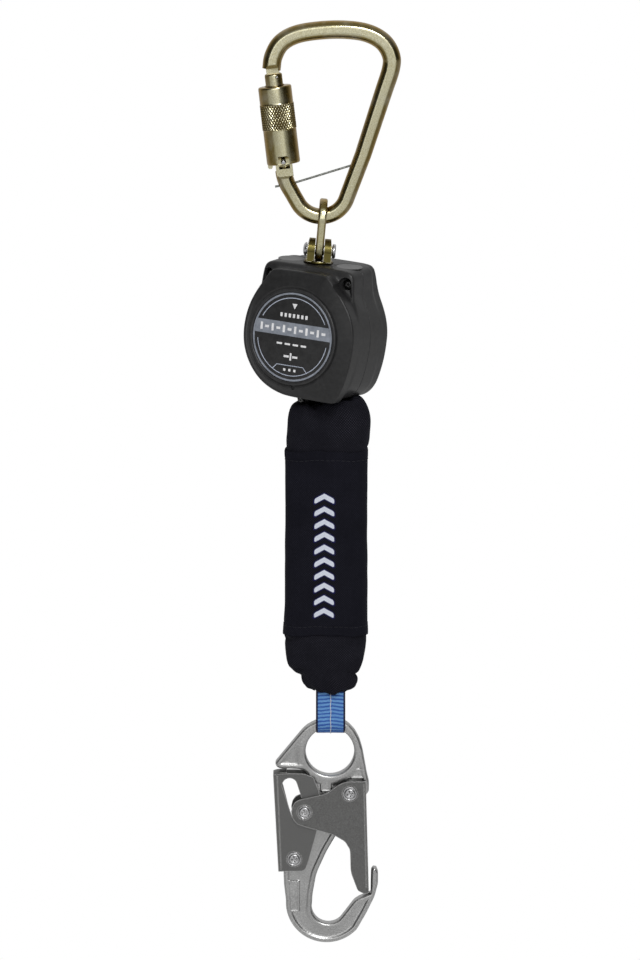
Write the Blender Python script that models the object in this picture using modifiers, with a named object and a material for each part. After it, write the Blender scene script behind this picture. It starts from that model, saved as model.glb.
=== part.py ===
"""Self retracting lifeline: carabiner, swivel, reel housing with drum and ratchet, energy
absorber pack and double-locking snap hook, hanging along -Z.

Lengths are in mm, measured from the drum axis midway through the housing's depth, and become
metres as objects are made.  The world origin is the seat inside the carabiner's top bar.
Front is -Y, rear is +Y, right is +X.  Points in pairs are (x, z) unless said otherwise.
"""
import math
from collections import namedtuple

import bpy
import bmesh
from mathutils import Matrix, Vector

for old in list(bpy.data.objects):
    bpy.data.objects.remove(old, do_unlink=True)

MM = 0.001

# ---------------------------------------------------------------- driving dimensions
ANCHOR = (11.0, 0.0, 176.0409)  # carabiner seat above the drum axis
ROLL = 5.0                      # degrees the swivel and housing lean, top towards +X
YAW = -27.7                     # degrees the housing is turned about its swivel
HINGE = (-17.0, 103.3)          # carabiner gate hinge
GATE_LEAN = 6.66                # degrees the gate leans, bottom towards +X
GATE_TOP = 52.6                 # gate length above the hinge
PIN_Z = 50.6                    # clevis pin
HOUSE_Y = 25.5                  # half depth of the housing
EAR_Y = 12.0                    # half depth of the housing's middle band with the ears
WALL = 2.5
PACK_Y = -4.0                   # depth at which pack and hook hang
LOOP_Z = -234.7                 # axis of the webbing loop round the hook eye
HOOK_EYE = (10.7, -253.0)

# ---------------------------------------------------------------- frames
def move(x, y, z):
    return Matrix.Translation(Vector((x, y, z)) * MM)


def turn(degrees, axis):
    return Matrix.Rotation(math.radians(degrees), 4, axis)


WORLD = Matrix.Translation(-Vector(ANCHOR) * MM)
HANG = WORLD @ turn(ROLL, 'Y')
HOUSE = HANG @ turn(YAW, 'Z')
GATE = WORLD @ move(HINGE[0], 0, HINGE[1]) @ turn(-GATE_LEAN, 'Y')  # hinge at 0, +Z up the gate
HOOK = WORLD @ move(HOOK_EYE[0], PACK_Y, HOOK_EYE[1])               # eye centre at 0

parts = bpy.data.collections.new("self_retracting_lifeline")
cutters = bpy.data.collections.new("cutters")
for collection in (parts, cutters):
    bpy.context.scene.collection.children.link(collection)


# ---------------------------------------------------------------- materials
def material(name, color, roughness, metallic=0.0):
    mat = bpy.data.materials.new(name)
    mat.use_nodes = True
    shader = mat.node_tree.nodes["Principled BSDF"]
    shader.inputs["Base Color"].default_value = (*color, 1)
    shader.inputs["Roughness"].default_value = roughness
    shader.inputs["Metallic"].default_value = metallic
    return mat


ZINC = material("yellow_zinc", color=(0.55, 0.47, 0.27), roughness=0.3, metallic=1.0)
STEEL = material("zinc_steel", color=(0.55, 0.55, 0.56), roughness=0.35, metallic=1.0)
PLATE = material("plate_steel", color=(0.32, 0.32, 0.33), roughness=0.4, metallic=1.0)
BRIGHT = material("bright_steel", color=(0.7, 0.7, 0.7), roughness=0.2, metallic=1.0)
PLASTIC = material("housing_plastic", color=(0.035, 0.035, 0.037), roughness=0.5)
LABEL = material("label_face", color=(0.02, 0.02, 0.022), roughness=0.4)
FABRIC = material("cover_fabric", color=(0.012, 0.012, 0.022), roughness=0.9)
WRAP_FABRIC = material("wrap_fabric", color=(0.012, 0.012, 0.022), roughness=0.85)
WEB = material("lifeline_web", color=(0.03, 0.03, 0.035), roughness=0.85)
BLUE = material("blue_web", color=(0.08, 0.22, 0.6), roughness=0.8)
BRONZE = material("bronze", color=(0.5, 0.33, 0.14), roughness=0.4, metallic=1.0)
SPRING = material("spring_steel", color=(0.35, 0.35, 0.36), roughness=0.3, metallic=1.0)
NYLON = material("drum_nylon", color=(0.05, 0.05, 0.05), roughness=0.5)


# ---------------------------------------------------------------- objects and cuts
def make_object(name, bm, collection, frame, origin):
    """Turn a bmesh in mm, in the frame's axes, into an object whose origin is at `origin`."""
    origin = Vector(origin)
    for vert in bm.verts:
        vert.co = (vert.co - origin) * MM
    bmesh.ops.remove_doubles(bm, verts=bm.verts, dist=1e-7)
    bmesh.ops.recalc_face_normals(bm, faces=bm.faces)
    mesh = bpy.data.meshes.new(name)
    bm.to_mesh(mesh)
    bm.free()
    obj = bpy.data.objects.new(name, mesh)
    collection.objects.link(obj)
    obj.matrix_world = frame @ Matrix.Translation(origin * MM)
    return obj


def add(name, bm, mat, frame=WORLD, origin=(0, 0, 0), smooth=30, bevel=0.0, bevel_angle=40):
    obj = make_object(name, bm, parts, frame, origin)
    obj.data.materials.append(mat)
    if bevel:
        mod = obj.modifiers.new("edge", 'BEVEL')
        mod.width = bevel * MM
        mod.segments = 1
        mod.limit_method = 'ANGLE'
        mod.angle_limit = math.radians(bevel_angle)
    obj.data.shade_smooth()
    obj.data.set_sharp_from_angle(angle=math.radians(smooth))
    return obj


def cut(obj, name, bm, frame=WORLD, operation='DIFFERENCE'):
    """Apply a hidden helper solid to an object through a boolean modifier."""
    cutter = make_object(name, bm, cutters, frame, (0, 0, 0))
    cutter.hide_render = True
    cutter.display_type = 'WIRE'
    mod = obj.modifiers.new(operation.lower(), 'BOOLEAN')
    mod.operation = operation
    mod.solver = 'EXACT'
    mod.object = cutter


def join(obj, name, bm, frame=WORLD):
    cut(obj, name, bm, frame, 'UNION')


# ---------------------------------------------------------------- outlines
def arc(centre, radius, steps, start=0.0, end=360.0):
    """Points on an arc, angles in degrees; a full turn leaves out the repeated last point."""
    count = steps if abs(end - start) >= 359.9 else steps + 1
    angles = [math.radians(start + (end - start) * i / steps) for i in range(count)]
    return [(centre[0] + radius * math.cos(a), centre[1] + radius * math.sin(a)) for a in angles]


def rectangle(half_width, low, high):
    return [(-half_width, low), (half_width, low), (half_width, high), (-half_width, high)]


def catmull(points, steps):
    """Catmull-Rom curve through points, `steps` per span."""
    inner = [Vector(p) for p in points]
    knots = [2 * inner[0] - inner[1]] + inner + [2 * inner[-1] - inner[-2]]
    curve = []
    for before, start, end, after in zip(knots, knots[1:], knots[2:], knots[3:]):
        for k in range(steps):
            t = k / steps
            curve.append(0.5 * (2 * start + (end - before) * t
                                + (2 * before - 5 * start + 4 * end - after) * t * t
                                + (3 * start - before - 3 * end + after) * t ** 3))
    curve.append(inner[-1])
    return [(p.x, p.y) for p in curve]


def helix(radius, start, end, turns, axis='Z', centre=(0, 0)):
    """Points along a coil with ten steps a turn, about an axis through centre."""
    per_turn = 10
    count = turns * per_turn
    cx, cz = centre
    points = []
    for i in range(count + 1):
        angle = 2 * math.pi * i / per_turn
        x, y = radius * math.cos(angle), radius * math.sin(angle)
        along = start + (end - start) * i / count
        points.append((cx + x, along, cz - y) if axis == 'Y' else (cx + x, y, cz + along))
    return points


# ---------------------------------------------------------------- solids
def prism(outline, start, end, axis='Y'):
    """Extrude an (x, z) outline along Y, or a (y, z) outline along X."""
    bm = bmesh.new()
    if axis == 'Y':
        verts = [bm.verts.new((x, start, z)) for x, z in outline]
        shift = (0, end - start, 0)
    else:
        verts = [bm.verts.new((start, y, z)) for y, z in outline]
        shift = (end - start, 0, 0)
    result = bmesh.ops.extrude_face_region(bm, geom=[bm.faces.new(verts)])
    moved = [g for g in result["geom"] if isinstance(g, bmesh.types.BMVert)]
    bmesh.ops.translate(bm, verts=moved, vec=shift)
    return bm


def lay(bm, axis, centre):
    """Lay a solid built about +Z along another axis, through centre (x, z)."""
    if axis == 'Y':
        bmesh.ops.rotate(bm, verts=bm.verts, matrix=Matrix.Rotation(-math.pi / 2, 3, 'X'))
    elif axis == 'X':
        bmesh.ops.rotate(bm, verts=bm.verts, matrix=Matrix.Rotation(math.pi / 2, 3, 'Y'))
    bmesh.ops.translate(bm, verts=bm.verts, vec=(centre[0], 0, centre[1]))
    return bm


def cylinder(radius, start, end, sides=24, axis='Y', centre=(0, 0)):
    bm = bmesh.new()
    bmesh.ops.create_cone(bm, cap_ends=True, segments=sides, radius1=radius, radius2=radius,
                          depth=end - start)
    bmesh.ops.translate(bm, verts=bm.verts, vec=(0, 0, (start + end) / 2))
    return lay(bm, axis, centre)


def turned(profile, steps=24, axis='Y', centre=(0, 0)):
    """Spin a profile of (radius, distance along the axis); radius 0 closes on the axis."""
    bm = bmesh.new()
    verts = [bm.verts.new((radius, 0, height)) for radius, height in profile]
    edges = [bm.edges.new(pair) for pair in zip(verts, verts[1:])]
    if profile[0][0] > 1e-6 and profile[-1][0] > 1e-6:
        edges.append(bm.edges.new((verts[-1], verts[0])))
    bmesh.ops.spin(bm, geom=verts + edges, cent=(0, 0, 0), axis=(0, 0, 1),
                   angle=2 * math.pi, steps=steps, use_merge=True)
    bmesh.ops.remove_doubles(bm, verts=bm.verts, dist=1e-4)
    return lay(bm, axis, centre)


def tube(inner, outer, start, end, steps=24, axis='Y', centre=(0, 0)):
    """Turned ring of plain section, or a rod where inner is 0."""
    profile = [(inner, start), (outer, start), (outer, end), (inner, end)]
    return turned(profile, steps, axis, centre)


def skin(rings, closed=False):
    """Skin equal-length point rings; caps the ends unless the list closes on itself."""
    bm = bmesh.new()
    rows = [[bm.verts.new(p) for p in ring] for ring in rings]
    count = len(rows[0])
    pairs = list(zip(rows, rows[1:]))
    if closed:
        pairs.append((rows[-1], rows[0]))
    for a, b in pairs:
        for i in range(count):
            j = (i + 1) % count
            bm.faces.new((a[i], a[j], b[j], b[i]))
    if not closed:
        bm.faces.new(rows[0][::-1])
        bm.faces.new(rows[-1])
    return bm


def sweep(path, sections):
    """Sweep sections of (in-plane, depth) points, one per point, along an XZ path."""
    rings = []
    for i, point in enumerate(path):
        ahead = Vector(path[min(i + 1, len(path) - 1)])
        behind = Vector(path[max(i - 1, 0)])
        along = (ahead - behind).normalized()
        side = Vector((0, 1, 0)).cross(along).normalized()
        depth = along.cross(side).normalized()
        rings.append([Vector(point) + side * s + depth * d for s, d in sections[i]])
    return skin(rings)


def strip(path, width, thickness):
    """Flat strip on edge, its width along Y."""
    section = rectangle(thickness / 2, -width / 2, width / 2)
    return sweep(path, [section] * len(path))


def wire(points, radius, resolution=2):
    """Round wire through points, from a bevelled poly curve with filled caps."""
    curve = bpy.data.curves.new("wire", 'CURVE')
    curve.dimensions = '3D'
    curve.bevel_depth = radius * MM
    curve.bevel_resolution = resolution
    curve.use_fill_caps = True
    spline = curve.splines.new('POLY')
    spline.points.add(len(points) - 1)
    for target, (x, y, z) in zip(spline.points, points):
        target.co = (x * MM, y * MM, z * MM, 1)
    obj = bpy.data.objects.new("wire", curve)
    bpy.context.scene.collection.objects.link(obj)
    bpy.context.view_layer.update()
    evaluated = obj.evaluated_get(bpy.context.evaluated_depsgraph_get())
    mesh = bpy.data.meshes.new_from_object(evaluated)
    bpy.data.objects.remove(obj, do_unlink=True)
    bm = bmesh.new()
    bm.from_mesh(mesh)
    bmesh.ops.scale(bm, verts=bm.verts, vec=(1 / MM, 1 / MM, 1 / MM))
    return bm


# ================================================================ carabiner
ARC_CENTRE = (5.4, 86.6)        # centre of the bow's lower arc
ARC_R = 16.0                    # centre-line radius of that arc
FORK_R = 4.6                    # round of the fork about the hinge
PIN_HOLE_SIDES = 16
WIRE_MIDDLE = [(-10.2, 0, 90.7), (22.9, 0, 100.9)]

# Bow centre line from the nose over the top bar, and past the arc to the fork, from ARC_CENTRE
BOW_UPPER = [
    (-29.5, 71.6), (-28.3, 79.2), (-23.8, 87.0), (-15.2, 92.0), (-2.4, 94.4), (13.2, 95.0),
    (26.6, 93.2), (36.2, 88.2), (41.2, 80.5), (41.4, 72.2), (36.3, 56.1), (24.8, 20.6)]
BOW_TAIL = [(-17.3, -1.9), (-20.0, 3.0), (-21.6, 7.6), (-22.3, 12.0)]
# Rod section with flattened front and back, as shares of (half width, half thickness)
BOW_SECTION = [
    (1, -0.42), (0.72, -0.86), (0.42, -1), (-0.42, -1), (-0.72, -0.86), (-1, -0.42),
    (-1, 0.42), (-0.72, 0.86), (-0.42, 1), (0.42, 1), (0.72, 0.86), (1, 0.42)]
# Nose blade with a notch for the latch pin: (across, down) from the nose's cut face
NOSE_BLADE = [(-3.9, -2.5), (3.9, -2.5), (3.9, 1.4), (0.4, 1.4),
              (0.4, 3.9), (3.4, 3.9), (3.4, 5.4), (-3.9, 5.4)]
NOSE_FACE = -(GATE_TOP + 0.6)   # cut face of the nose, down the gate axis from the hinge


def from_hinge(points, start=0.0):
    """Place points given as (across towards +X, down) along the gate axis from the hinge."""
    lean = math.radians(GATE_LEAN)
    down = Vector((math.sin(lean), -math.cos(lean)))
    across = Vector((-down.y, down.x))
    return [(Vector(HINGE) + across * a + down * (start + d)).to_tuple() for a, d in points]


def bow_path():
    def shifted(points):
        return [(x + ARC_CENTRE[0], z + ARC_CENTRE[1]) for x, z in points]
    lower = arc(ARC_CENTRE, ARC_R, 11, -20, -141)
    return shifted(catmull(BOW_UPPER, 3)) + lower + shifted(BOW_TAIL)


def bow_sections(path):
    """The rod is 11.0 x 10.2 mm at the top and narrows to 9.2 x 9.2 mm."""
    lengths = [0.0]
    for a, b in zip(path, path[1:]):
        lengths.append(lengths[-1] + math.hypot(b[0] - a[0], b[1] - a[1]))
    sections = []
    for length in lengths:
        narrowing = max(0.0, min(1.0, (length / lengths[-1] - 0.35) / 0.4))
        half_width = 5.5 - 0.9 * narrowing
        half_depth = 5.1 - 0.5 * narrowing
        sections.append([(s * half_width, d * half_depth) for s, d in BOW_SECTION])
    return sections


def carabiner_body():
    path = bow_path()
    body = add("carabiner_body", sweep([(x, 0, z) for x, z in path], bow_sections(path)), ZINC,
               origin=(ARC_CENTRE[0], 0, ARC_CENTRE[1]))
    # fork that straddles the gate's tongue, with the hinge hole
    fork = [(FORK_R, 6.0), (-FORK_R, 6.0)] + arc((0, 0), FORK_R, 8, 180, 360)
    join(body, "fork_add", prism(from_hinge(fork), -4.1, 4.1))
    cut(body, "fork_slot", prism(from_hinge(rectangle(9, -8, 5.3)), -2.0, 2.0))
    cut(body, "fork_hole", cylinder(1.65, -7, 7, PIN_HOLE_SIDES, centre=HINGE))
    # nose, cut back to a blade that enters the slotted top of the gate
    cut(body, "nose_trim", prism(from_hinge(rectangle(9, 0, 8), NOSE_FACE), -9, 9))
    join(body, "nose_blade", prism(from_hinge(NOSE_BLADE, NOSE_FACE), -1.8, 1.8))
    cut(body, "wire_hole", wire([(-26.0, 0, 87.5), *WIRE_MIDDLE, (25.2, 0, 101.6)], 1.0))


def captive_wire():
    points = [(-22.0, 0, 88.3), *WIRE_MIDDLE, (24.6, 0, 101.4)]
    add("captive_wire", wire(points, 0.65), BRIGHT)


def gate_hinge_pin():
    add("gate_hinge_pin", tube(0, 1.5, -4.7, 4.7, 14, centre=HINGE), BRIGHT,
        origin=(HINGE[0], 0, HINGE[1]))


LATCH = (1.9, GATE_TOP - 2.05)  # latch pin, in the gate's frame
GATE_PROFILE = [
    (0, -4.2), (4.7, -4.2), (5.2, -3.4), (5.2, 44.2), (5.6, 45.0),
    (5.6, GATE_TOP - 0.7), (5.0, GATE_TOP), (0, GATE_TOP)]
# Barrel with a slightly raised band between z 19.9 and 34.4
SLEEVE_PROFILE = [
    (6.0, 9.0), (7.5, 8.0), (7.5, -1.2), (9.2, -1.2), (9.9, -0.5), (9.9, 19.5),
    (10.15, 19.9), (10.15, 34.4), (9.9, 34.8), (9.9, 44.6), (9.3, 45.3), (6.0, 45.3)]
SLEEVE_WINDOW = [(-3.6, -3), (3.6, -3), (3.6, 2.6), (2.4, 3.8), (-2.4, 3.8), (-3.6, 2.6)]
SLEEVE_LUG = [(-9.4, 0.5), (-6.6, 0.5), (-6.6, -2.4), (-7.4, -3.2), (-9.0, -3.2), (-9.4, -2.6)]


def carabiner_gate():
    """Round post with a tongue at the hinge and a slot at the top."""
    gate = add("carabiner_gate", turned(GATE_PROFILE, 20, 'Z'), ZINC, GATE)
    for y in (5.0, -5.0):
        cut(gate, "tongue_side", prism(rectangle(8, -8, 6.6), y - 3.2, y + 3.2), GATE)
    below_tongue = [(-8, -8), (8, -8), (8, 0)] + arc((0, 0), 4.3, 10, 0, -180) + [(-8, 0)]
    cut(gate, "tongue_round", prism(below_tongue, -9, 9), GATE)
    cut(gate, "tongue_hole", cylinder(1.62, -9, 9, PIN_HOLE_SIDES), GATE)
    slot = rectangle(9, GATE_TOP - 6.6, GATE_TOP + 3)
    cut(gate, "gate_slot", prism(slot, -2.2, 2.2), GATE)
    cut(gate, "latch_hole", cylinder(0.8, -9, 9, 12, centre=LATCH), GATE)
    add("gate_latch_pin", cylinder(0.72, -4.6, 4.6, 12, centre=LATCH), BRIGHT, GATE)


def gate_sleeve():
    sleeve = add("gate_sleeve", turned(SLEEVE_PROFILE, 32, 'Z'), ZINC, GATE)
    cut(sleeve, "sleeve_window", prism(SLEEVE_WINDOW, -12, -2), GATE)
    join(sleeve, "sleeve_lug", prism(SLEEVE_LUG, -2.6, 2.6), GATE)
    cut(sleeve, "spring_room", tube(5.0, 7.6, 12, 40, axis='Z'), GATE)
    add("sleeve_spring", wire(helix(6.4, 13.0, 39.0, 7), 0.45, resolution=1), SPRING, GATE)


# ================================================================ swivel
PIN_CENTRE = (0, PIN_Z)
PIN_ORIGIN = (0, 0, PIN_Z)
CLEVIS_PIN_HOLE_R = 3.1
CLEVIS_FLOOR = 44.0             # bottom of the gap between the cheeks
STUD_NUT_TOP = 33.4
# Stud below, round base above
CLEVIS_PROFILE = [(0, 30.4), (4.8, 30.4), (4.8, 42.4), (8.1, 42.6),
                  (8.6, 43.4), (8.2, 44.6), (7.0, 45.6), (0, 45.6)]
# Pin with a domed head at -X and a recessed collar at +X
CLEVIS_PIN_PROFILE = [
    (0, -9.7), (2.6, -9.5), (4.0, -8.7), (4.2, -7.7), (3.0, -7.6), (3.0, 7.6),
    (4.2, 7.7), (4.2, 9.3), (3.4, 9.6), (2.0, 9.6), (1.8, 7.9), (0, 7.9)]


def swivel_eye():
    outline = arc((0, 70.2), 11.4, 14, -20, 200) + arc(PIN_CENTRE, 6.2, 8, 195, 345)
    eye = add("swivel_eye", prism(outline, -2.4, 2.4, 'X'), ZINC, HANG, PIN_ORIGIN, bevel=0.9)
    cut(eye, "eye_hole", cylinder(6.7, -6, 6, 24, 'X', (0, 70.3)), HANG)
    cut(eye, "eye_pin_hole", cylinder(CLEVIS_PIN_HOLE_R, -6, 6, 20, 'X', PIN_CENTRE), HANG)


def swivel_clevis():
    clevis = add("swivel_clevis", turned(CLEVIS_PROFILE, 28, 'Z'), ZINC, HANG, PIN_ORIGIN)
    cheek = [(-7.2, CLEVIS_FLOOR), (7.2, CLEVIS_FLOOR)] + arc(PIN_CENTRE, 7.0, 10, -10, 190)
    join(clevis, "cheeks", prism(cheek, -7.4, 7.4, 'X'), HANG)
    cut(clevis, "clevis_gap", prism(rectangle(12, CLEVIS_FLOOR, 62), -2.75, 2.75, 'X'), HANG)
    cut(clevis, "clevis_hole", cylinder(CLEVIS_PIN_HOLE_R, -12, 12, 20, 'X', PIN_CENTRE), HANG)
    add("clevis_pin", turned(CLEVIS_PIN_PROFILE, 20, 'X', PIN_CENTRE), BRIGHT, HANG, PIN_ORIGIN)


def swivel_nut_and_washer():
    nut = add("swivel_nut", cylinder(8.0, 30.3, STUD_NUT_TOP, 6, 'Z'), PLATE, HANG,
              (0, 0, STUD_NUT_TOP))
    cut(nut, "nut_bore", cylinder(4.9, 20, 40, 24, 'Z'), HANG)
    add("swivel_washer", tube(5.0, 7.4, 41.85, 42.25, axis='Z'), BRONZE, HANG)


# ================================================================ housing
# Anticlockwise outlines: the front and rear faces are narrow, the middle band has ears.
RIGHT_SIDE = [(39.0, -4.0), (39.2, 4.5), (37.6, 12.5)]
LEFT_AND_FOOT = [
    (-34.0, 8.6), (-34.8, 0.0), (-34.0, -8.0), (-31.4, -15.6), (-27.2, -22.4), (-21.4, -28.4),
    (-14.4, -32.6), (-6.6, -35.2), (0.0, -36.0), (10.0, -36.2), (20.0, -36.4), (29.4, -36.6),
    (31.4, -35.6), (34.2, -28.0), (36.6, -19.6), (38.2, -11.8)]
FACE_OUTLINE = RIGHT_SIDE + [
    (34.4, 19.3), (29.8, 25.8), (24.6, 32.0), (19.4, 37.6), (17.0, 38.8), (8.0, 39.1),
    (0.0, 39.2), (-8.0, 39.1), (-17.0, 38.8), (-19.6, 37.2), (-24.0, 30.8), (-28.2, 24.2),
    (-31.8, 16.8)] + LEFT_AND_FOOT
BAND_OUTLINE = RIGHT_SIDE + [
    (34.8, 20.0), (31.6, 27.3), (30.9, 35.6), (30.0, 39.2), (26.6, 41.8), (12.0, 42.0),
    (0.0, 42.0), (-12.0, 42.0), (-25.6, 41.8), (-29.2, 39.0), (-30.0, 34.6), (-30.6, 26.2),
    (-32.0, 17.0)] + LEFT_AND_FOOT
PARTING_Y = 0.12                # half the gap between the two halves
OUTLET = [(13.0, -30), (21.6, -30), (20.6, -42), (12.6, -42)]
BOSS_PROFILE = [(0, PARTING_Y), (4.2, PARTING_Y), (4.2, 6.0), (3.2, 7.3), (0, 7.3)]

# seat: depth of the head's and nut's seats; tail: shank beyond the nut's seat
Screw = namedtuple("Screw", "name x z shank head seat tail drive")
SCREWS = [
    Screw("right_ear", 26.4, 34.0, shank=1.75, head=3.2, seat=EAR_Y - 3.6, tail=3.2, drive=1.2),
    Screw("left_ear", -25.2, 33.8, shank=1.75, head=3.2, seat=EAR_Y - 3.6, tail=3.2, drive=1.2),
    Screw("foot", 1.0, -39.2, shank=1.3, head=2.4, seat=7.4, tail=2.4, drive=0.9)]


def inset(outline, distance):
    """Move each outline point inwards, square to its neighbours."""
    moved = []
    count = len(outline)
    for i in range(count):
        before, point, after = (Vector(outline[k % count]) for k in (i - 1, i, i + 1))
        u = (point - before).normalized()
        v = (after - point).normalized()
        u_normal = Vector((-u.y, u.x))
        normal = (u_normal + Vector((-v.y, v.x))).normalized()
        reach = distance / max(0.55, normal.dot(u_normal))
        moved.append((point.x + normal.x * reach, point.y + normal.y * reach))
    return moved


def face_to_band(share):
    return [(a[0] * (1 - share) + b[0] * share, a[1] * (1 - share) + b[1] * share)
            for a, b in zip(FACE_OUTLINE, BAND_OUTLINE)]


def half_housing(name, side, outlet_y):
    """side is -1 for the front half, +1 for the rear; outlet_y spans the webbing outlet."""
    def stack(*layers):
        return skin([[(x, side * y, z) for x, z in outline] for outline, y in layers])

    shell = stack(
        (inset(FACE_OUTLINE, 1.9), HOUSE_Y), (inset(FACE_OUTLINE, 0.7), HOUSE_Y - 0.35),
        (FACE_OUTLINE, HOUSE_Y - 1.8), (face_to_band(0.06), EAR_Y + 2.6),
        (face_to_band(0.8), EAR_Y + 0.9), (BAND_OUTLINE, EAR_Y - 0.6), (BAND_OUTLINE, PARTING_Y))
    half = add(name, shell, PLASTIC, HOUSE, smooth=35)
    # boss round the foot screw; the front one is the same solid turned to face -Y
    foot = SCREWS[2]
    boss = turned(BOSS_PROFILE, 20, centre=(foot.x, foot.z + 0.9))
    boss_frame = HOUSE if side > 0 else HOUSE @ turn(180, 'Z') @ move(-2 * foot.x, 0, 0)
    join(half, name + "_boss", boss, boss_frame)
    cavity = inset(FACE_OUTLINE, WALL)
    cut(half, name + "_well", stack((cavity, HOUSE_Y - WALL), (cavity, -1.0)), HOUSE)
    cut(half, name + "_swivel", cylinder(5.5, 30, 50, 24, 'Z'), HOUSE)
    cut(half, name + "_seat", cylinder(9.2, 41.7, 50, 28, 'Z'), HOUSE)
    cut(half, name + "_outlet", prism(OUTLET, *outlet_y), HOUSE)
    for k, screw in enumerate(SCREWS):
        hole = cylinder(screw.shank + 0.15, -30, 30, 12, centre=(screw.x, screw.z))
        cut(half, f"{name}_screw{k}", hole, HOUSE)
    # round scoops in the ears for the screw heads and nuts, a little outboard of the screws
    for k, screw in enumerate(SCREWS[:2]):
        centre = (screw.x + math.copysign(0.9, screw.x), screw.z - 0.6)
        start, end = sorted((side * screw.seat, side * (EAR_Y + 12)))
        cut(half, f"{name}_scoop{k}", cylinder(4.9, start, end, 18, centre=centre), HOUSE)
    return half


CAP_PROFILE = [(0, -24.4), (29.5, -24.4), (29.5, -25.3), (28.4, -25.7),
               (26.9, -25.45), (26.9, -25.0), (0, -25.0)]


def housing():
    front = half_housing("front_housing", -1, outlet_y=(-9.6, 1))
    half_housing("rear_housing", 1, outlet_y=(-1, 11.2))
    # shallow round recess that seats the front cap
    cut(front, "cap_recess", cylinder(29.9, -30, -(HOUSE_Y - 1.2), 48), HOUSE)
    add("front_cap", turned(CAP_PROFILE, 48), PLASTIC, HOUSE)
    add("front_label", tube(0, 26.5, -25.5, -25.04, 48), LABEL, HOUSE)


def housing_screw(screw):
    """Screw with its head at the front and a hexagon nut at the rear."""
    name = "screw_" + screw.name
    centre = (screw.x, screw.z)
    origin = (screw.x, 0, screw.z)
    seat = -screw.seat
    under_head = seat - 0.06
    tip = screw.seat + screw.tail
    profile = [
        (0, seat - 2.2), (0.78 * screw.head, seat - 2.2), (screw.head, seat - 1.2),
        (screw.head, under_head), (screw.shank, under_head), (screw.shank, tip), (0, tip)]
    body = add(name, turned(profile, 14, centre=centre), BRIGHT, HOUSE, origin)
    cut(body, name + "_drive", cylinder(screw.drive, seat - 4, seat - 0.9, 6, centre=centre),
        HOUSE)
    nut = cylinder(screw.head, screw.seat + 0.06, screw.seat + 2.2, 6, centre=centre)
    nut = add("nut_" + screw.name, nut, BRIGHT, HOUSE, origin)
    cut(nut, name + "_nutbore", cylinder(screw.shank + 0.1, -2, 30, 12, centre=centre), HOUSE)


# ================================================================ load frame and ratchet
FRAME_FRONT, FRAME_REAR = -12.3, 19.0   # outer faces of the two frame plates
FRAME_PLATE = 2.0
TEETH = 10
TOOTH_START = -29.5             # degrees round the drum axis where a tooth gap begins
RATCHET_ROOT, RATCHET_TIP, RATCHET_OUT = 28.4, 26.4, 30.4
# One tooth: (share of the pitch, radius)
TOOTH = [(0.0, RATCHET_ROOT), (0.30, RATCHET_ROOT), (0.86, RATCHET_TIP), (0.97, RATCHET_TIP)]


def load_frame():
    """Two round-ended plates joined by a bridge under the roof that carries the stud."""
    outline = [(12.6, 36.2), (-12.6, 36.2)] + arc((0, 0), 30.4, 30, 118, 422)
    frame = add("load_frame", prism(outline, FRAME_FRONT, FRAME_REAR), PLATE, HOUSE, smooth=35)
    room = prism(rectangle(40, -40, 33.8), FRAME_FRONT + FRAME_PLATE, FRAME_REAR - FRAME_PLATE)
    cut(frame, "frame_room", room, HOUSE)
    cut(frame, "frame_stud", cylinder(5.2, 32, 44, 24, 'Z'), HOUSE)
    cut(frame, "frame_bores_f", cylinder(7.8, -16, -9, 28), HOUSE)
    cut(frame, "frame_bores_r", cylinder(4.1, 14, 22), HOUSE)


def ratchet_ring():
    """Ring with saw teeth facing inwards."""
    pitch = 2 * math.pi / TEETH
    inside = []
    for k in range(TEETH):
        for share, radius in TOOTH:
            angle = math.radians(TOOTH_START) + (k + share) * pitch
            inside.append((radius * math.cos(angle), radius * math.sin(angle)))
    ring = add("ratchet_ring", prism(arc((0, 0), RATCHET_OUT, 40), 12.3, 16.8), PLATE, HOUSE,
               smooth=25)
    cut(ring, "ring_inside", prism(inside, 10, 20), HOUSE)


# ================================================================ drum, shaft and springs
SHAFT_R = 4.0
BUSH_IN, BUSH_OUT = 4.12, 5.2
DRUM_HUB_R = 12.5
FLANGE_R = 29.6
SPOOL_R = 28.2
SHAFT_PROFILE = [(0, -22.4), (3.2, -22.4), (3.2, -13.0), (SHAFT_R, -13.0), (SHAFT_R, 21.4),
                 (0, 21.4)]
DRUM_PROFILE = [
    (5.3, -14.6), (7.4, -14.6), (7.4, -9.9), (FLANGE_R, -9.9), (FLANGE_R, -8.2),
    (DRUM_HUB_R, -8.2), (DRUM_HUB_R, 9.8), (FLANGE_R, 9.8), (FLANGE_R, 11.3), (9.0, 11.3),
    (9.0, 16.6), (5.3, 16.6)]
# Shallow pan, open to the rear
SPRING_CASE_PROFILE = [(3.5, -22.6), (28.6, -22.6), (28.6, -12.6), (27.4, -12.6),
                       (27.4, -21.6), (3.5, -21.6)]
PAWL_R = 18.5                   # pawl pivot, from the drum axis
PAWL_Y = 14.0
PAWL_ARM = [(23.3, -4.6), (23.0, -9.6), (22.6, -12.6), (19.6, -13.2), (17.8, -9.6), (16.0, -4.8)]
PAWL_SPRING = [(15.4, -9.0), (13.4, -10.6), (11.0, -9.6), (9.8, -7.2)]
COIL_TURNS, COIL_STEPS = 6, 12
COIL_IN, COIL_OUT = 8.6, 26.4


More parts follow.
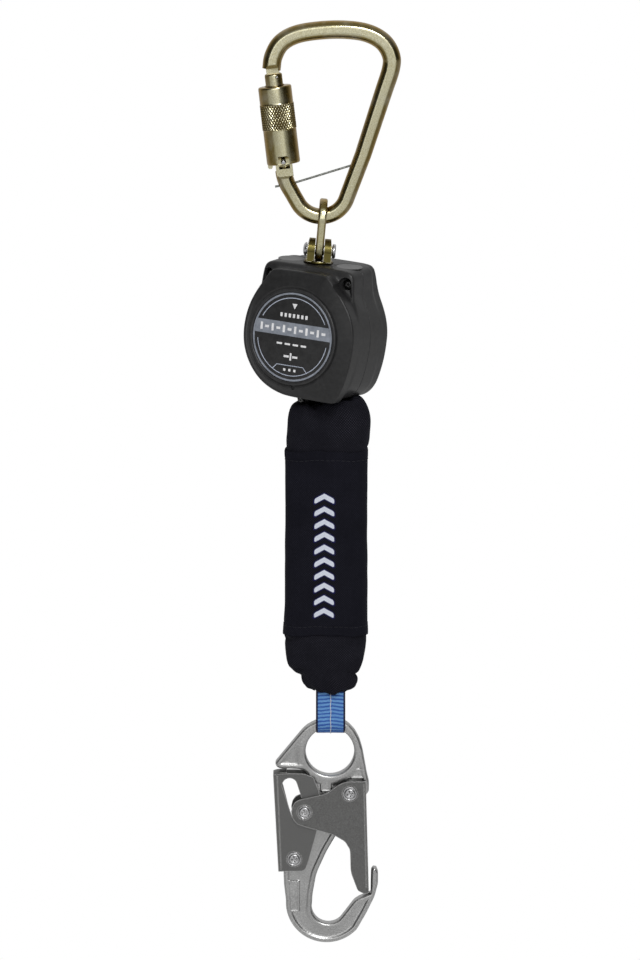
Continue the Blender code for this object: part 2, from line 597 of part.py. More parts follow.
def shaft_and_drum():
    add("main_shaft", turned(SHAFT_PROFILE), STEEL, HOUSE)
    nut = add("shaft_nut", cylinder(7.4, 19.1, 22.4, 6), PLATE, HOUSE)
    cut(nut, "shaft_nut_bore", cylinder(SHAFT_R + 0.06, 15, 30), HOUSE)
    add("drum", turned(DRUM_PROFILE, 28), NYLON, HOUSE)
    add("drum_bush_front", tube(BUSH_IN, BUSH_OUT, -12.8, -2.0), BRONZE, HOUSE)
    add("drum_bush_rear", tube(BUSH_IN, BUSH_OUT, 2.0, 16.4), BRONZE, HOUSE)
    add("spooled_webbing", tube(DRUM_HUB_R + 0.1, SPOOL_R, -7.9, 9.5, 32), WEB, HOUSE)


def pawl(letter, angle):
    """Short arm behind the drum's rear flange, with its pin and leaf spring."""
    cos, sin = math.cos(angle), math.sin(angle)

    def rotated(points):
        return [(x * cos - z * sin, x * sin + z * cos) for x, z in points]

    pivot = rotated([(PAWL_R, 0.0)])[0]
    origin = (pivot[0], PAWL_Y, pivot[1])
    outline = rotated(arc((PAWL_R, 0), 3.2, 5, 190, 0) + PAWL_ARM)
    name = "pawl_" + letter
    arm = add(name, prism(outline, 12.5, 15.6), STEEL, HOUSE, origin)
    cut(arm, name + "_hole", cylinder(1.6, 10, 18, 14, centre=pivot), HOUSE)
    add("pawl_pin_" + letter, cylinder(1.5, 11.36, 16.5, 14, centre=pivot), BRIGHT, HOUSE, origin)
    leaf = [(x, PAWL_Y, z) for x, z in rotated(PAWL_SPRING)]
    add("pawl_spring_" + letter, strip(leaf, 2.4, 0.5), SPRING, HOUSE)


def power_spring():
    """Flat spiral and its case, in front of the frame's front plate."""
    add("spring_case", turned(SPRING_CASE_PROFILE, 36), NYLON, HOUSE)
    spiral = []
    count = COIL_TURNS * COIL_STEPS
    for i in range(count + 1):
        radius = COIL_IN + (COIL_OUT - COIL_IN) * i / count
        angle = 2 * math.pi * i / COIL_STEPS
        spiral.append((radius * math.cos(angle), -17.0, radius * math.sin(angle)))
    add("power_spring", strip(spiral, 7.6, 0.9), SPRING, HOUSE)


# ================================================================ lifeline webbing
WEB_W = 17.4
WEB_T = 1.395
WEB_IN_HOUSING = [(27.6, 0.8, -10.2), (23.9, 0.8, -19.6), (20.2, 0.8, -28.6), (17.2, 0.8, -36.4)]
WEB_END = Vector((9.6, PACK_Y, -53.5))


def lifeline_webbing():
    """Runs straight off the drum, then twists until its width lies along X at the pack."""
    axes = HOUSE.to_3x3()
    drum_axis = axes @ Vector((0, 1, 0))
    points = [axes @ Vector(p) for p in WEB_IN_HOUSING]
    twists = [0.0] * len(points)
    outlet = points[-1]
    for k in range(1, 6):
        share = k / 5
        ease = min(1.0, 1.7 * share)
        twists.append(ease * ease * (3 - 2 * ease))
        points.append(outlet.lerp(WEB_END, share))
    rings = []
    for i, (point, twist) in enumerate(zip(points, twists)):
        along = (points[min(i + 1, len(points) - 1)] - points[max(i - 1, 0)]).normalized()
        across = drum_axis.lerp(Vector((-1, 0, 0)), twist).normalized()
        across = (across - along * across.dot(along)).normalized()
        w = across * (WEB_W / 2)
        h = along.cross(across).normalized() * (WEB_T / 2)
        rings.append([point + w + h, point - w + h, point - w - h, point + w - h])
    add("lifeline_webbing", skin(rings), WEB)


# ================================================================ energy absorber pack
# Outer rings, top to bottom: left x, right x, depth, z, slope of the ring (z per x)
COVER = [
    (-2.5, 21.5, 20.0, -44.6, 0.12), (-8.5, 27.5, 22.5, -44.3, 0.12),
    (-12.6, 31.6, 23.0, -46.6, 0.12), (-14.2, 34.6, 25.5, -51.2, 0.06),
    (-14.6, 35.2, 26.0, -56.0, 0.0), (-14.9, 32.6, 26.4, -72.0, 0.0),
    (-15.8, 32.0, 26.4, -182.0, 0.0), (-15.8, 31.6, 26.0, -195.0, 0.0),
    (-14.6, 31.0, 25.0, -201.0, 0.0), (-10.8, 28.4, 23.4, -205.6, 0.0),
    (-5.6, 26.4, 21.6, -210.6, 0.0), (-3.0, 25.6, 20.4, -214.6, 0.0),
    (0.6, 21.8, 19.2, -218.0, 0.06)]
COVER_T = 1.3
# Wrap rings: left x, right x, depth, z
WRAP = [(-15.7, 33.1, 27.6, -71.6), (-15.9, 32.8, 27.8, -128.0), (-16.6, 33.0, 27.8, -181.6)]
LOOP_R = 8.0
LOOP_T = 1.4
LOOP_X = (2.2, 19.4)            # width of the webbing loop


def pack_ring(left, right, depth, z, slope=0.0, power=0.55):
    """Superellipse ring of 20 points; a lower power is squarer."""
    def squared(value):
        return math.copysign(abs(value) ** power, value)

    centre = (left + right) / 2
    ring = []
    for i in range(20):
        angle = 2 * math.pi * i / 20
        x = centre + (right - left) / 2 * squared(math.cos(angle))
        y = PACK_Y + depth / 2 * squared(math.sin(angle))
        ring.append((x, y, z + slope * (x - centre)))
    return ring


def pack_cover():
    outer = [pack_ring(*row) for row in COVER]
    inner = []
    for i, (left, right, depth, z, slope) in enumerate(COVER):
        # the inner skin drops under the top shoulder and rises over the bottom one
        if 0 < i < 4:
            z -= 0.9
        elif 7 < i < 12:
            z += 0.5
        inner.append(pack_ring(left + COVER_T, right - COVER_T, depth - 2 * COVER_T, z, slope))
    add("pack_cover", skin(outer + inner[::-1], closed=True), FABRIC, smooth=60)


def pack_wrap():
    outer = [pack_ring(left - 0.9, right + 0.9, depth + 1.4, z) for left, right, depth, z in WRAP]
    inner = [pack_ring(left, right, depth - 0.4, z) for left, right, depth, z in WRAP]
    add("pack_wrap", skin(outer + inner[::-1], closed=True), WRAP_FABRIC, smooth=60)


def tear_web_pack():
    """Block of tear web inside the cover."""
    rings = [pack_ring(-11.5, 28.5, 20.5, z, power=0.4) for z in (-57.0, -120.0, -196.0)]
    add("tear_web_pack", skin(rings), WEB, smooth=50)


def hook_loop_webbing():
    """Loop of webbing from the pack round the hook's eye."""
    def face(radius, offset):
        """One face of the webbing, offset outwards from its mid-line on the straight runs."""
        neck, flare = 3.0 + offset, 3.6 + offset
        return ([(-neck, -204.0), (-flare, -219.0)] + arc((0, LOOP_Z), radius, 11, 160, 380)
                + [(flare, -219.0), (neck, -204.0)])

    outline = face(LOOP_R + LOOP_T, LOOP_T / 2) + face(LOOP_R, -LOOP_T / 2)[::-1]
    outline = [(y + PACK_Y, z) for y, z in outline]
    add("hook_loop_webbing", prism(outline, *LOOP_X, 'X'), BLUE, smooth=50)


# ================================================================ snap hook
HOOK_HALF = 4.5                 # half thickness of the hook forging
GATE_PIVOT, ARM_PIN, LEVER_PIVOT = (12.0, -25.1), (-15.4, -36.5), (-21.6, -65.9)
GATE_HALF, LEVER_HALF = 8.4, 6.5        # half widths of the folded gate and lever
PIVOT_HOLE_R, ARM_HOLE_R = 2.55, 2.05
RIVET_CLEARANCE = 0.1
HOOK_OUTLINE = [
    (-9.0, 18.1), (-13.6, 15.7), (-16.7, 12.9), (-32.2, -6.0), (-33.0, -7.5), (-32.2, -9.4),
    (-30.2, -10.4), (-16.7, -11.0), (-13.6, -13.2), (-12.6, -20.1), (-11.7, -28.4),
    (-11.5, -36.5), (-13.2, -42.6), (-19.8, -49.4), (-25.2, -57.7), (-27.8, -65.0),
    (-28.3, -73.9), (-28.1, -80.7), (-26.6, -98.5), (-21.9, -109.0), (-12.6, -116.3),
    (-1.2, -118.2), (10.1, -114.2), (19.4, -104.8), (26.7, -91.2), (28.9, -81.8),
    (28.4, -75.0), (27.0, -72.6), (25.6, -73.4), (25.1, -80.7), (24.8, -87.6), (17.8, -90.4),
    (14.3, -93.3), (11.2, -97.5), (6.0, -103.7), (1.9, -106.4), (-2.3, -106.4), (-6.4, -103.7),
    (-10.7, -97.5), (-11.4, -88.1), (-8.5, -75.5), (-2.3, -61.9), (2.9, -52.5), (8.1, -45.2),
    (12.7, -36.3), (15.8, -33.9), (18.2, -32.0), (19.8, -29.8), (20.9, -27.4), (23.6, -25.4),
    (23.9, -20.1), (22.2, -15.9), (21.3, -10.7), (19.9, -2.3), (18.9, 4.0), (15.3, 12.3),
    (11.5, 16.3)] + arc((0, 0), 20.2, 8, 64, 112)
GATE_OUTLINE = [
    (-23.5, -36.5), (-22.6, -32.6), (-20.7, -30.0), (-17.8, -28.7), (-2.3, -25.1), (6.0, -19.2),
    (10.1, -17.8), (21.8, -17.5), (22.0, -28.4), (23.6, -86.0), (22.1, -87.1), (19.9, -86.6),
    (16.8, -84.9), (12.5, -73.4), (12.2, -59.8), (9.1, -54.6), (1.9, -50.4), (-19.3, -44.3),
    (-22.1, -41.2)]
GATE_CHANNEL = [(-40, 0), (40, 0), (40, -28.6), (20.6, -28.6), (22.1, -84.0), (22.1, -100),
                (-40, -100)]
LEVER_OUTLINE = [
    (-34.3, -13.8), (-28.1, -13.0), (-15.7, -13.1), (-10.0, -15.4), (-6.4, -24.3), (-6.0, -38.9),
    (-8.0, -49.4), (-12.6, -66.1), (-14.5, -71.8), (-16.7, -73.4), (-31.2, -73.6)]
LEVER_CHANNEL = [(-32.7, 0), (0, 0), (0, -90), (-29.6, -90), (-29.6, -73.0)]
LEVER_SLOT = arc((-24.3, -20.6), 4.4, 10, 20, 205) + arc((-16.4, -36.4), 3.0, 8, 205, 380)


def hook_hole(obj, name, centre, radius, half):
    cut(obj, name, cylinder(radius, -half, half, PIN_HOLE_SIDES, centre=centre), HOOK)


def hook_body():
    hook = add("hook_body", prism(HOOK_OUTLINE, -HOOK_HALF, HOOK_HALF), STEEL, HOOK,
               origin=(0, 0, LOOP_Z - HOOK_EYE[1]), smooth=40, bevel=1.4, bevel_angle=50)
    cut(hook, "hook_eye_hole", cylinder(14.7, -9, 9, 36), HOOK)
    hook_hole(hook, "gate_rivet_hole", GATE_PIVOT, PIVOT_HOLE_R, 9)
    hook_hole(hook, "lever_rivet_hole", LEVER_PIVOT, PIVOT_HOLE_R, 9)
    # rear recesses for the two coil springs
    cut(hook, "gate_spring_well", cylinder(5.2, 2.6, 9, 20, centre=GATE_PIVOT), HOOK)
    cut(hook, "lever_spring_well", cylinder(5.2, 2.2, 9, 20, centre=LEVER_PIVOT), HOOK)


def hook_gate():
    gate = add("hook_gate", prism(GATE_OUTLINE, -GATE_HALF, GATE_HALF), PLATE, HOOK,
               origin=(GATE_PIVOT[0], 0, GATE_PIVOT[1]), smooth=40)
    cut(gate, "gate_channel", prism(GATE_CHANNEL, -6.9, 6.9), HOOK)
    hook_hole(gate, "gate_pl_rivet", GATE_PIVOT, PIVOT_HOLE_R, 12)
    hook_hole(gate, "gate_pl_pin", ARM_PIN, ARM_HOLE_R, 12)


def hook_lever():
    lever = add("hook_lever", prism(LEVER_OUTLINE, -LEVER_HALF, LEVER_HALF), PLATE, HOOK,
                origin=(LEVER_PIVOT[0], 0, LEVER_PIVOT[1]), smooth=40)
    cut(lever, "lever_channel", prism(LEVER_CHANNEL, -5.2, 5.2), HOOK)
    cut(lever, "lever_slot", prism(LEVER_SLOT, -12, 12), HOOK)
    hook_hole(lever, "lever_pl_rivet", LEVER_PIVOT, PIVOT_HOLE_R, 12)


def rivet(name, centre, radius, half, head):
    """Rivet through a part of the given half width, with a dished head at each end."""
    rear = [(radius, half + 0.06), (head, half + 0.06), (head, half + 0.5),
            (head - 0.9, half + 1.1), (1.8, half + 1.1), (1.3, half + 0.5), (0, half + 0.5)]
    front = [(r, -y) for r, y in rear[::-1]]
    add(name, turned(front + rear, 14, centre=centre), BRIGHT, HOOK,
        origin=(centre[0], 0, centre[1]))


def hook_fittings():
    pivot_r = PIVOT_HOLE_R - RIVET_CLEARANCE
    rivet("gate_rivet", GATE_PIVOT, pivot_r, GATE_HALF, head=4.3)
    rivet("gate_arm_pin", ARM_PIN, ARM_HOLE_R - RIVET_CLEARANCE, GATE_HALF, head=4.1)
    rivet("lever_rivet", LEVER_PIVOT, pivot_r, LEVER_HALF, head=4.3)
    for name, centre, start, end, turns in (
            ("hook_gate_spring", GATE_PIVOT, 3.3, 6.2, 3),
            ("hook_lever_spring", LEVER_PIVOT, 2.8, 4.6, 2)):
        coil = helix(3.7, start, end, turns, 'Y', centre)
        add(name, wire(coil, 0.42, resolution=1), SPRING, HOOK)


# ================================================================ build, top to bottom
carabiner_body()
captive_wire()
gate_hinge_pin()
carabiner_gate()
gate_sleeve()
swivel_eye()
swivel_clevis()
swivel_nut_and_washer()
housing()
for housing_fixing in SCREWS:
    housing_screw(housing_fixing)
load_frame()
ratchet_ring()
shaft_and_drum()
pawl("a", 0.0)
pawl("b", math.pi)
power_spring()
lifeline_webbing()
pack_cover()
pack_wrap()
tear_web_pack()
hook_loop_webbing()
hook_body()
hook_gate()
hook_lever()
hook_fittings()
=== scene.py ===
"""Looks for the self retracting lifeline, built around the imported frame.  Metres, +Z up."""
import math
import bpy
import bmesh
import numpy as np
from mathutils import Matrix, Vector, noise, geometry


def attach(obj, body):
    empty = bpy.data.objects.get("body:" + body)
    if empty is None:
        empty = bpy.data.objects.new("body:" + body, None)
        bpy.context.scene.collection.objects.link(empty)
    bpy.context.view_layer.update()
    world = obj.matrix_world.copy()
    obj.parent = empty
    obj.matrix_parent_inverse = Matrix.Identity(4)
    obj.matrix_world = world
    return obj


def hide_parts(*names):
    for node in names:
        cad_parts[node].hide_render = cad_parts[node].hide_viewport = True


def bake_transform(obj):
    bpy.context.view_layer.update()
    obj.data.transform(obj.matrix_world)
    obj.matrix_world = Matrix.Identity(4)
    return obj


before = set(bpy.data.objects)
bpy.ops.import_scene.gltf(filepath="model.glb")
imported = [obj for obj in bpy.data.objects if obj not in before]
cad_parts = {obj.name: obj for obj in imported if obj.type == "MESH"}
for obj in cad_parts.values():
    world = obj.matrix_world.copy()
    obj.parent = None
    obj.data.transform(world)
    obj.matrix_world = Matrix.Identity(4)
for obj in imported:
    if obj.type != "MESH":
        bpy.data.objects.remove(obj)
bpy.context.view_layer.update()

MM = 0.001
ROLL, YAW = 5.0, -27.7
HINGE = (-17.0, 103.3)
GATE_LEAN = 6.66
PIN_Z = 50.6
PACK_Y = -4.0
LOOP_Z = -234.7
HOOK_EYE = (10.7, -253.0)
ROT_ROLL = Matrix.Rotation(math.radians(ROLL), 4, 'Y')
ANCHOR = (11.0, 0.0, 176.0409)     # lengths in mm below are from the drum axis; the origin is the anchor seat
WORLD = Matrix.Translation(-Vector(ANCHOR) * MM)
HANG = WORLD @ ROT_ROLL
HOUSE = HANG @ Matrix.Rotation(math.radians(YAW), 4, 'Z')
GATE = WORLD @ Matrix.Translation(Vector((HINGE[0], 0, HINGE[1])) * MM) @ Matrix.Rotation(math.radians(-GATE_LEAN), 4, 'Y')
HOOK = WORLD @ Matrix.Translation(Vector((HOOK_EYE[0], PACK_Y, HOOK_EYE[1])) * MM)
scene = bpy.context.scene
coll = scene.collection


# ================================================================ node helper and materials
class Mat:
    def __init__(self, name):
        self.m = bpy.data.materials.new(name)
        self.m.use_nodes = True
        self.t = self.m.node_tree
        self.b = self.t.nodes["Principled BSDF"]
        self.co = self.t.nodes.new("ShaderNodeTexCoord").outputs["Object"]

    def node(self, kind, inputs=None, **props):
        n = self.t.nodes.new("ShaderNode" + kind)
        for k, v in props.items():
            setattr(n, k, v)
        for k, v in (inputs or {}).items():
            self.put(n.inputs[k], v)
        return n

    def put(self, sock, v):
        if isinstance(v, bpy.types.NodeSocket):
            self.t.links.new(v, sock)
        else:
            sock.default_value = v

    def noise(self, scale, detail=3.0, rough=0.55, co=None, distort=0.0):
        return self.node("TexNoise", {"Vector": co or self.co, "Scale": scale, "Detail": detail, "Roughness": rough, "Distortion": distort}).outputs["Fac"]

    def math(self, op, a, b=None, c=None, clamp=False):
        n = self.t.nodes.new("ShaderNodeMath")
        n.operation = op
        n.use_clamp = clamp
        for i, v in enumerate((a, b, c)):
            if v is not None:
                self.put(n.inputs[i], v)
        return n.outputs[0]

    def ramp(self, fac, stops, interp='LINEAR'):
        n = self.t.nodes.new("ShaderNodeValToRGB")
        n.color_ramp.interpolation = interp
        els = n.color_ramp.elements
        while len(els) < len(stops):
            els.new(0.5)
        for e, (p, c) in zip(els, stops):
            e.position = p
            e.color = (c, c, c, 1) if isinstance(c, (int, float)) else (*c, 1)
        self.put(n.inputs[0], fac)
        return n.outputs[0]

    def mix(self, fac, a, b, kind='MIX'):
        n = self.t.nodes.new("ShaderNodeMix")
        n.data_type = 'RGBA'
        n.blend_type = kind
        n.clamp_factor = True
        self.put(n.inputs[0], fac)
        self.put(n.inputs[6], (*a, 1) if isinstance(a, tuple) else a)
        self.put(n.inputs[7], (*b, 1) if isinstance(b, tuple) else b)
        return n.outputs[2]

    def bump(self, height, strength, dist, normal=None):
        n = self.t.nodes.new("ShaderNodeBump")
        n.inputs["Strength"].default_value = strength
        n.inputs["Distance"].default_value = dist
        self.put(n.inputs["Height"], height)
        if normal is not None:
            self.put(n.inputs["Normal"], normal)
        return n.outputs[0]

    def facing(self, blend=0.5):
        return self.node("LayerWeight", {"Blend": blend}).outputs["Facing"]

    def edge(self, radius, lo=0.02, hi=0.25):
        """0 on open faces, 1 at convex edges, from how far a rounded normal leans from the real one."""
        bv = self.t.nodes.new("ShaderNodeBevel")
        bv.samples = 4
        bv.inputs["Radius"].default_value = radius
        g = self.t.nodes.new("ShaderNodeNewGeometry")
        d = self.node("VectorMath", {0: bv.outputs[0], 1: g.outputs["Normal"]}, operation='DOT_PRODUCT').outputs["Value"]
        lean = self.math('SUBTRACT', 1.0, d)
        return self.node("MapRange", {"Value": lean, "From Min": lo, "From Max": hi}, clamp=True).outputs[0]

    def set(self, color=None, rough=None, metal=None, normal=None, **more):
        for k, v in (("Base Color", color), ("Roughness", rough), ("Metallic", metal), ("Normal", normal)):
            if v is not None:
                self.put(self.b.inputs[k], (*v, 1) if isinstance(v, tuple) and len(v) == 3 else v)
        for k, v in more.items():
            self.put(self.b.inputs[k.replace("_", " ")], v)
        return self.m


def zinc_yellow():
    m = Mat("zinc_yellow")
    # painted reflection: the colour follows how squarely a face looks at the viewer, pale where it faces it, dark at
    # middle angles and golden brown at grazing angles
    f = m.facing(0.35)
    painted_reflection_tone = m.ramp(f, [(0.0, (0.94, 0.91, 0.66)), (0.05, (0.86, 0.82, 0.54)), (0.10, (0.29, 0.23, 0.085)), (0.26, (0.24, 0.18, 0.06)), (0.46, (0.48, 0.33, 0.11)), (1.0, (0.62, 0.42, 0.15))])
    grain = m.noise(1500, 4.0, 0.7)
    blot = m.noise(95, 3.0, 0.6)
    c = m.mix(m.ramp(grain, [(0.36, 0.0), (0.62, 1.0)]), painted_reflection_tone, m.mix(1.0, painted_reflection_tone, (0.70, 0.66, 0.55), 'MULTIPLY'))
    c = m.mix(m.math('MULTIPLY', m.ramp(blot, [(0.45, 0.0), (0.75, 1.0)]), 0.35), c, (0.62, 0.60, 0.50))
    r = m.math('ADD', m.math('MULTIPLY', grain, 0.12), m.math('ADD', 0.10, m.math('MULTIPLY', blot, 0.07)))
    b = m.bump(grain, 0.12, 0.00006, m.bump(m.noise(420, 3), 0.10, 0.0001))
    return m.set(c, r, 1.0, b)


def zinc_groove_painted_shade():
    """Darker metal for the bottom of the knurl's grooves, a painted shade."""
    m = Mat("zinc_groove_painted_shade")
    grain = m.noise(1500, 4.0, 0.7)
    c = m.ramp(grain, [(0.3, (0.085, 0.062, 0.020)), (0.7, (0.17, 0.125, 0.045))])
    r = m.math('ADD', m.math('MULTIPLY', grain, 0.2), 0.35)
    return m.set(c, r, 1.0, m.bump(grain, 0.2, 0.00006))


def zinc_steel():
    m = Mat("satin_zinc_forging")
    grain = m.noise(1300, 4.0, 0.75)
    mid = m.noise(330, 3.0, 0.6)
    blot = m.noise(60, 3.0, 0.55)
    c = m.ramp(grain, [(0.30, (0.36, 0.36, 0.355)), (0.55, (0.60, 0.60, 0.595)), (0.72, (0.80, 0.80, 0.79))])
    c = m.mix(m.math('MULTIPLY', m.ramp(blot, [(0.38, 0.0), (0.7, 1.0)]), 0.4), c, (0.36, 0.36, 0.355))
    # brighter, smoother convex edges: partly rubbed edges, partly a painted edge highlight
    e = m.math('MULTIPLY', m.edge(0.0009), m.ramp(mid, [(0.3, 0.35), (0.6, 1.0)]))
    c = m.mix(e, c, (0.74, 0.74, 0.73))
    r = m.math('SUBTRACT', m.math('ADD', 0.25, m.math('MULTIPLY', grain, 0.16)), m.math('MULTIPLY', e, 0.12))
    b = m.bump(grain, 0.30, 0.00008, m.bump(mid, 0.22, 0.00016))
    return m.set(c, r, 1.0, b)


def plate_steel(name="pressed_plate", lo=(0.12, 0.12, 0.118), hi=(0.25, 0.25, 0.246)):
    m = Mat(name)
    grain = m.noise(1900, 4.0, 0.75)
    blot = m.noise(120, 3.0, 0.6)
    c = m.ramp(grain, [(0.34, lo), (0.66, hi)])
    c = m.mix(m.math('MULTIPLY', m.ramp(blot, [(0.42, 0.0), (0.7, 1.0)]), 0.35), c, tuple(0.75 * v for v in hi))
    # brighter convex edges: partly worn edges, partly a painted edge highlight
    e = m.edge(0.0009)
    c = m.mix(e, c, (0.80, 0.80, 0.79))
    r = m.math('SUBTRACT', m.math('ADD', 0.40, m.math('MULTIPLY', grain, 0.16)), m.math('MULTIPLY', e, 0.15))
    b = m.bump(grain, 0.28, 0.00006, m.bump(m.noise(240, 3), 0.15, 0.00012))
    return m.set(c, r, 1.0, b)


def bright_steel():
    m = Mat("bright_steel")
    grain = m.noise(1100, 3.0, 0.6)
    c = m.ramp(grain, [(0.3, (0.50, 0.50, 0.51)), (0.7, (0.74, 0.74, 0.75))])
    return m.set(c, m.math('ADD', 0.16, m.math('MULTIPLY', grain, 0.14)), 1.0, m.bump(grain, 0.15, 0.00006))


def wire_steel():
    m = Mat("drawn_wire")
    w = m.noise(900, 2.0, 0.5, distort=0.4)
    c = m.ramp(w, [(0.3, (0.16, 0.17, 0.15)), (0.7, (0.42, 0.43, 0.40))])
    return m.set(c, m.math('ADD', 0.30, m.math('MULTIPLY', w, 0.2)), 1.0, m.bump(w, 0.3, 0.0001))


def olive_brass():
    m = Mat("dark_chromate")
    grain = m.noise(900, 4.0, 0.7)
    f = m.facing(0.4)
    # painted reflection: the colour follows how squarely a face looks at the viewer, darkest at middle angles and
    # lighter brown at grazing angles
    c = m.ramp(f, [(0.0, (0.13, 0.11, 0.032)), (0.3, (0.085, 0.065, 0.016)), (1.0, (0.30, 0.20, 0.055))])
    c = m.mix(m.ramp(grain, [(0.4, 0.0), (0.7, 0.6)]), c, (0.10, 0.085, 0.03))
    # near-white convex edges: partly worn edges, partly a painted edge highlight
    c = m.mix(m.math('MULTIPLY', m.edge(0.0005, 0.03, 0.2), 0.95), c, (0.86, 0.84, 0.70))
    return m.set(c, m.math('ADD', 0.24, m.math('MULTIPLY', grain, 0.18)), 1.0, m.bump(grain, 0.25, 0.00008))


def plastic(name="moulded_plastic", base=(0.0150, 0.0150, 0.0155), light=(0.026, 0.026, 0.0265), spec=0.42):
    m = Mat(name)
    fine = m.noise(2100, 4.0, 0.7)
    mid = m.noise(330, 4.0, 0.65)
    scuff = m.noise(55, 5.0, 0.7, distort=1.2)
    c = m.mix(m.ramp(mid, [(0.35, 0.0), (0.75, 1.0)]), base, light)
    c = m.mix(m.math('MULTIPLY', m.ramp(scuff, [(0.60, 0.0), (0.72, 1.0)]), 0.22), c, (0.075, 0.075, 0.076))
    # lighter convex edges: partly worn edges, partly a painted edge highlight
    e = m.edge(0.0007, 0.03, 0.3)
    c = m.mix(m.math('MULTIPLY', e, 0.45), c, (0.10, 0.10, 0.102))
    r = m.math('ADD', m.ramp(fine, [(0.3, 0.30), (0.7, 0.46)]), m.math('MULTIPLY', scuff, 0.06))
    b = m.bump(fine, 0.30, 0.00007, m.bump(mid, 0.14, 0.00012))
    return m.set(c, r, 0.0, b, Specular_IOR_Level=spec)


def label_ink(name, col, rough=0.33):
    m = Mat(name)
    fine = m.noise(2400, 3.0, 0.6)
    blot = m.noise(260, 4.0, 0.7)
    c = m.mix(m.ramp(blot, [(0.35, 0.0), (0.75, 1.0)]), col, tuple(min(1.0, v * 1.5 + 0.012) for v in col))
    return m.set(c, m.math('ADD', rough, m.math('MULTIPLY', fine, 0.16)), 0.0, m.bump(fine, 0.18, 0.00005))


def weave(name, base, dot, pitch=1.5, strength=1.0, motif=False, shade=None):
    """Heavy nylon cloth: rows of yarn crowns set half a pitch apart, over UVs that are metres along the cloth; the
    raised crowns and fibres are coloured lighter, a painted sheen.
    """
    m = Mat(name)
    uvn = m.node("UVMap")
    uvn.uv_map = "UVMap"
    sep = m.node("SeparateXYZ", {0: uvn.outputs[0]})
    u, v = sep.outputs[0], sep.outputs[1]
    wob = m.noise(160, 2.0, 0.5)
    k = 2 * math.pi / (pitch * MM)
    uu = m.math('ADD', u, m.math('MULTIPLY', wob, 0.00035))
    cu = m.math('COSINE', m.math('MULTIPLY', uu, k))
    cv = m.math('COSINE', m.math('MULTIPLY', v, k))
    # two crowns in each cell, at (0, 0) and (1/2, 1/2)
    cell = m.math('MULTIPLY', cu, cv)
    crown = m.node("MapRange", {"Value": cell, "From Min": 0.25, "From Max": 0.95}, clamp=True).outputs[0]
    fibre = m.math('MULTIPLY', m.math('ADD', m.math('SINE', m.math('MULTIPLY', m.math('ADD', u, v), k * 4.5)), 1.0), 0.5)
    patch = m.noise(48, 3.0, 0.6)
    vis = m.ramp(patch, [(0.34, 0.25), (0.66, 1.0)])
    # painted sheen: the raised yarn crowns and fibres take the lighter colour
    c = m.mix(m.math('MULTIPLY', m.math('MULTIPLY', crown, vis), strength), base, dot)
    c = m.mix(m.math('MULTIPLY', fibre, 0.12), c, dot)
    fluff = m.noise(2600, 2.0, 0.5)
    c = m.mix(m.math('MULTIPLY', m.ramp(fluff, [(0.62, 0.0), (0.74, 1.0)]), 0.10), c, (0.12, 0.12, 0.15))
    rough = 0.86
    if motif:
        # a plain column of chevrons: white with a navy border
        U0, P, W, HH, R = -0.0012, 7.7 * MM, 5.9 * MM, 1.55 * MM, 1.1 * MM
        au = m.math('ABSOLUTE', m.math('SUBTRACT', u, U0))
        vv = m.math('ADD', v, m.math('MULTIPLY', au, 0.55))
        pv = m.math('SUBTRACT', m.math('MODULO', m.math('ADD', vv, 1.0), P), P / 2)
        du = m.math('MAXIMUM', m.math('SUBTRACT', au, W - R), 0.0)
        dv = m.math('MAXIMUM', m.math('SUBTRACT', m.math('ABSOLUTE', pv), HH - R), 0.0)
        d = m.math('SUBTRACT', m.math('SQRT', m.math('ADD', m.math('POWER', du, 2.0), m.math('POWER', dv, 2.0))), R)
        inside = m.math('MULTIPLY', m.math('GREATER_THAN', vv, 108 * P - 1.0), m.math('LESS_THAN', vv, 118 * P - 1.0))
        navy = m.math('MULTIPLY', m.node("MapRange", {"Value": d, "From Min": 0.0009, "From Max": 0.0006}, clamp=True).outputs[0], inside)
        white = m.math('MULTIPLY', m.node("MapRange", {"Value": d, "From Min": 0.00015, "From Max": -0.00015}, clamp=True).outputs[0], inside)
        c = m.mix(navy, c, (0.012, 0.012, 0.075))
        c = m.mix(white, c, m.mix(m.math('MULTIPLY', crown, 0.5), (0.74, 0.78, 0.88), (0.60, 0.65, 0.78)))
    h = m.math('ADD', crown, m.math('MULTIPLY', fibre, 0.25))
    b = m.bump(h, 0.55, 0.00018, m.bump(m.noise(130, 3.0, 0.6), 0.25, 0.0006))
    m.set(c, rough, 0.0, b, Sheen_Weight=0.02, Sheen_Roughness=0.5, Specular_IOR_Level=0.10)
    m.b.inputs["Sheen Tint"].default_value = (0.35, 0.37, 0.55, 1)
    return m.m


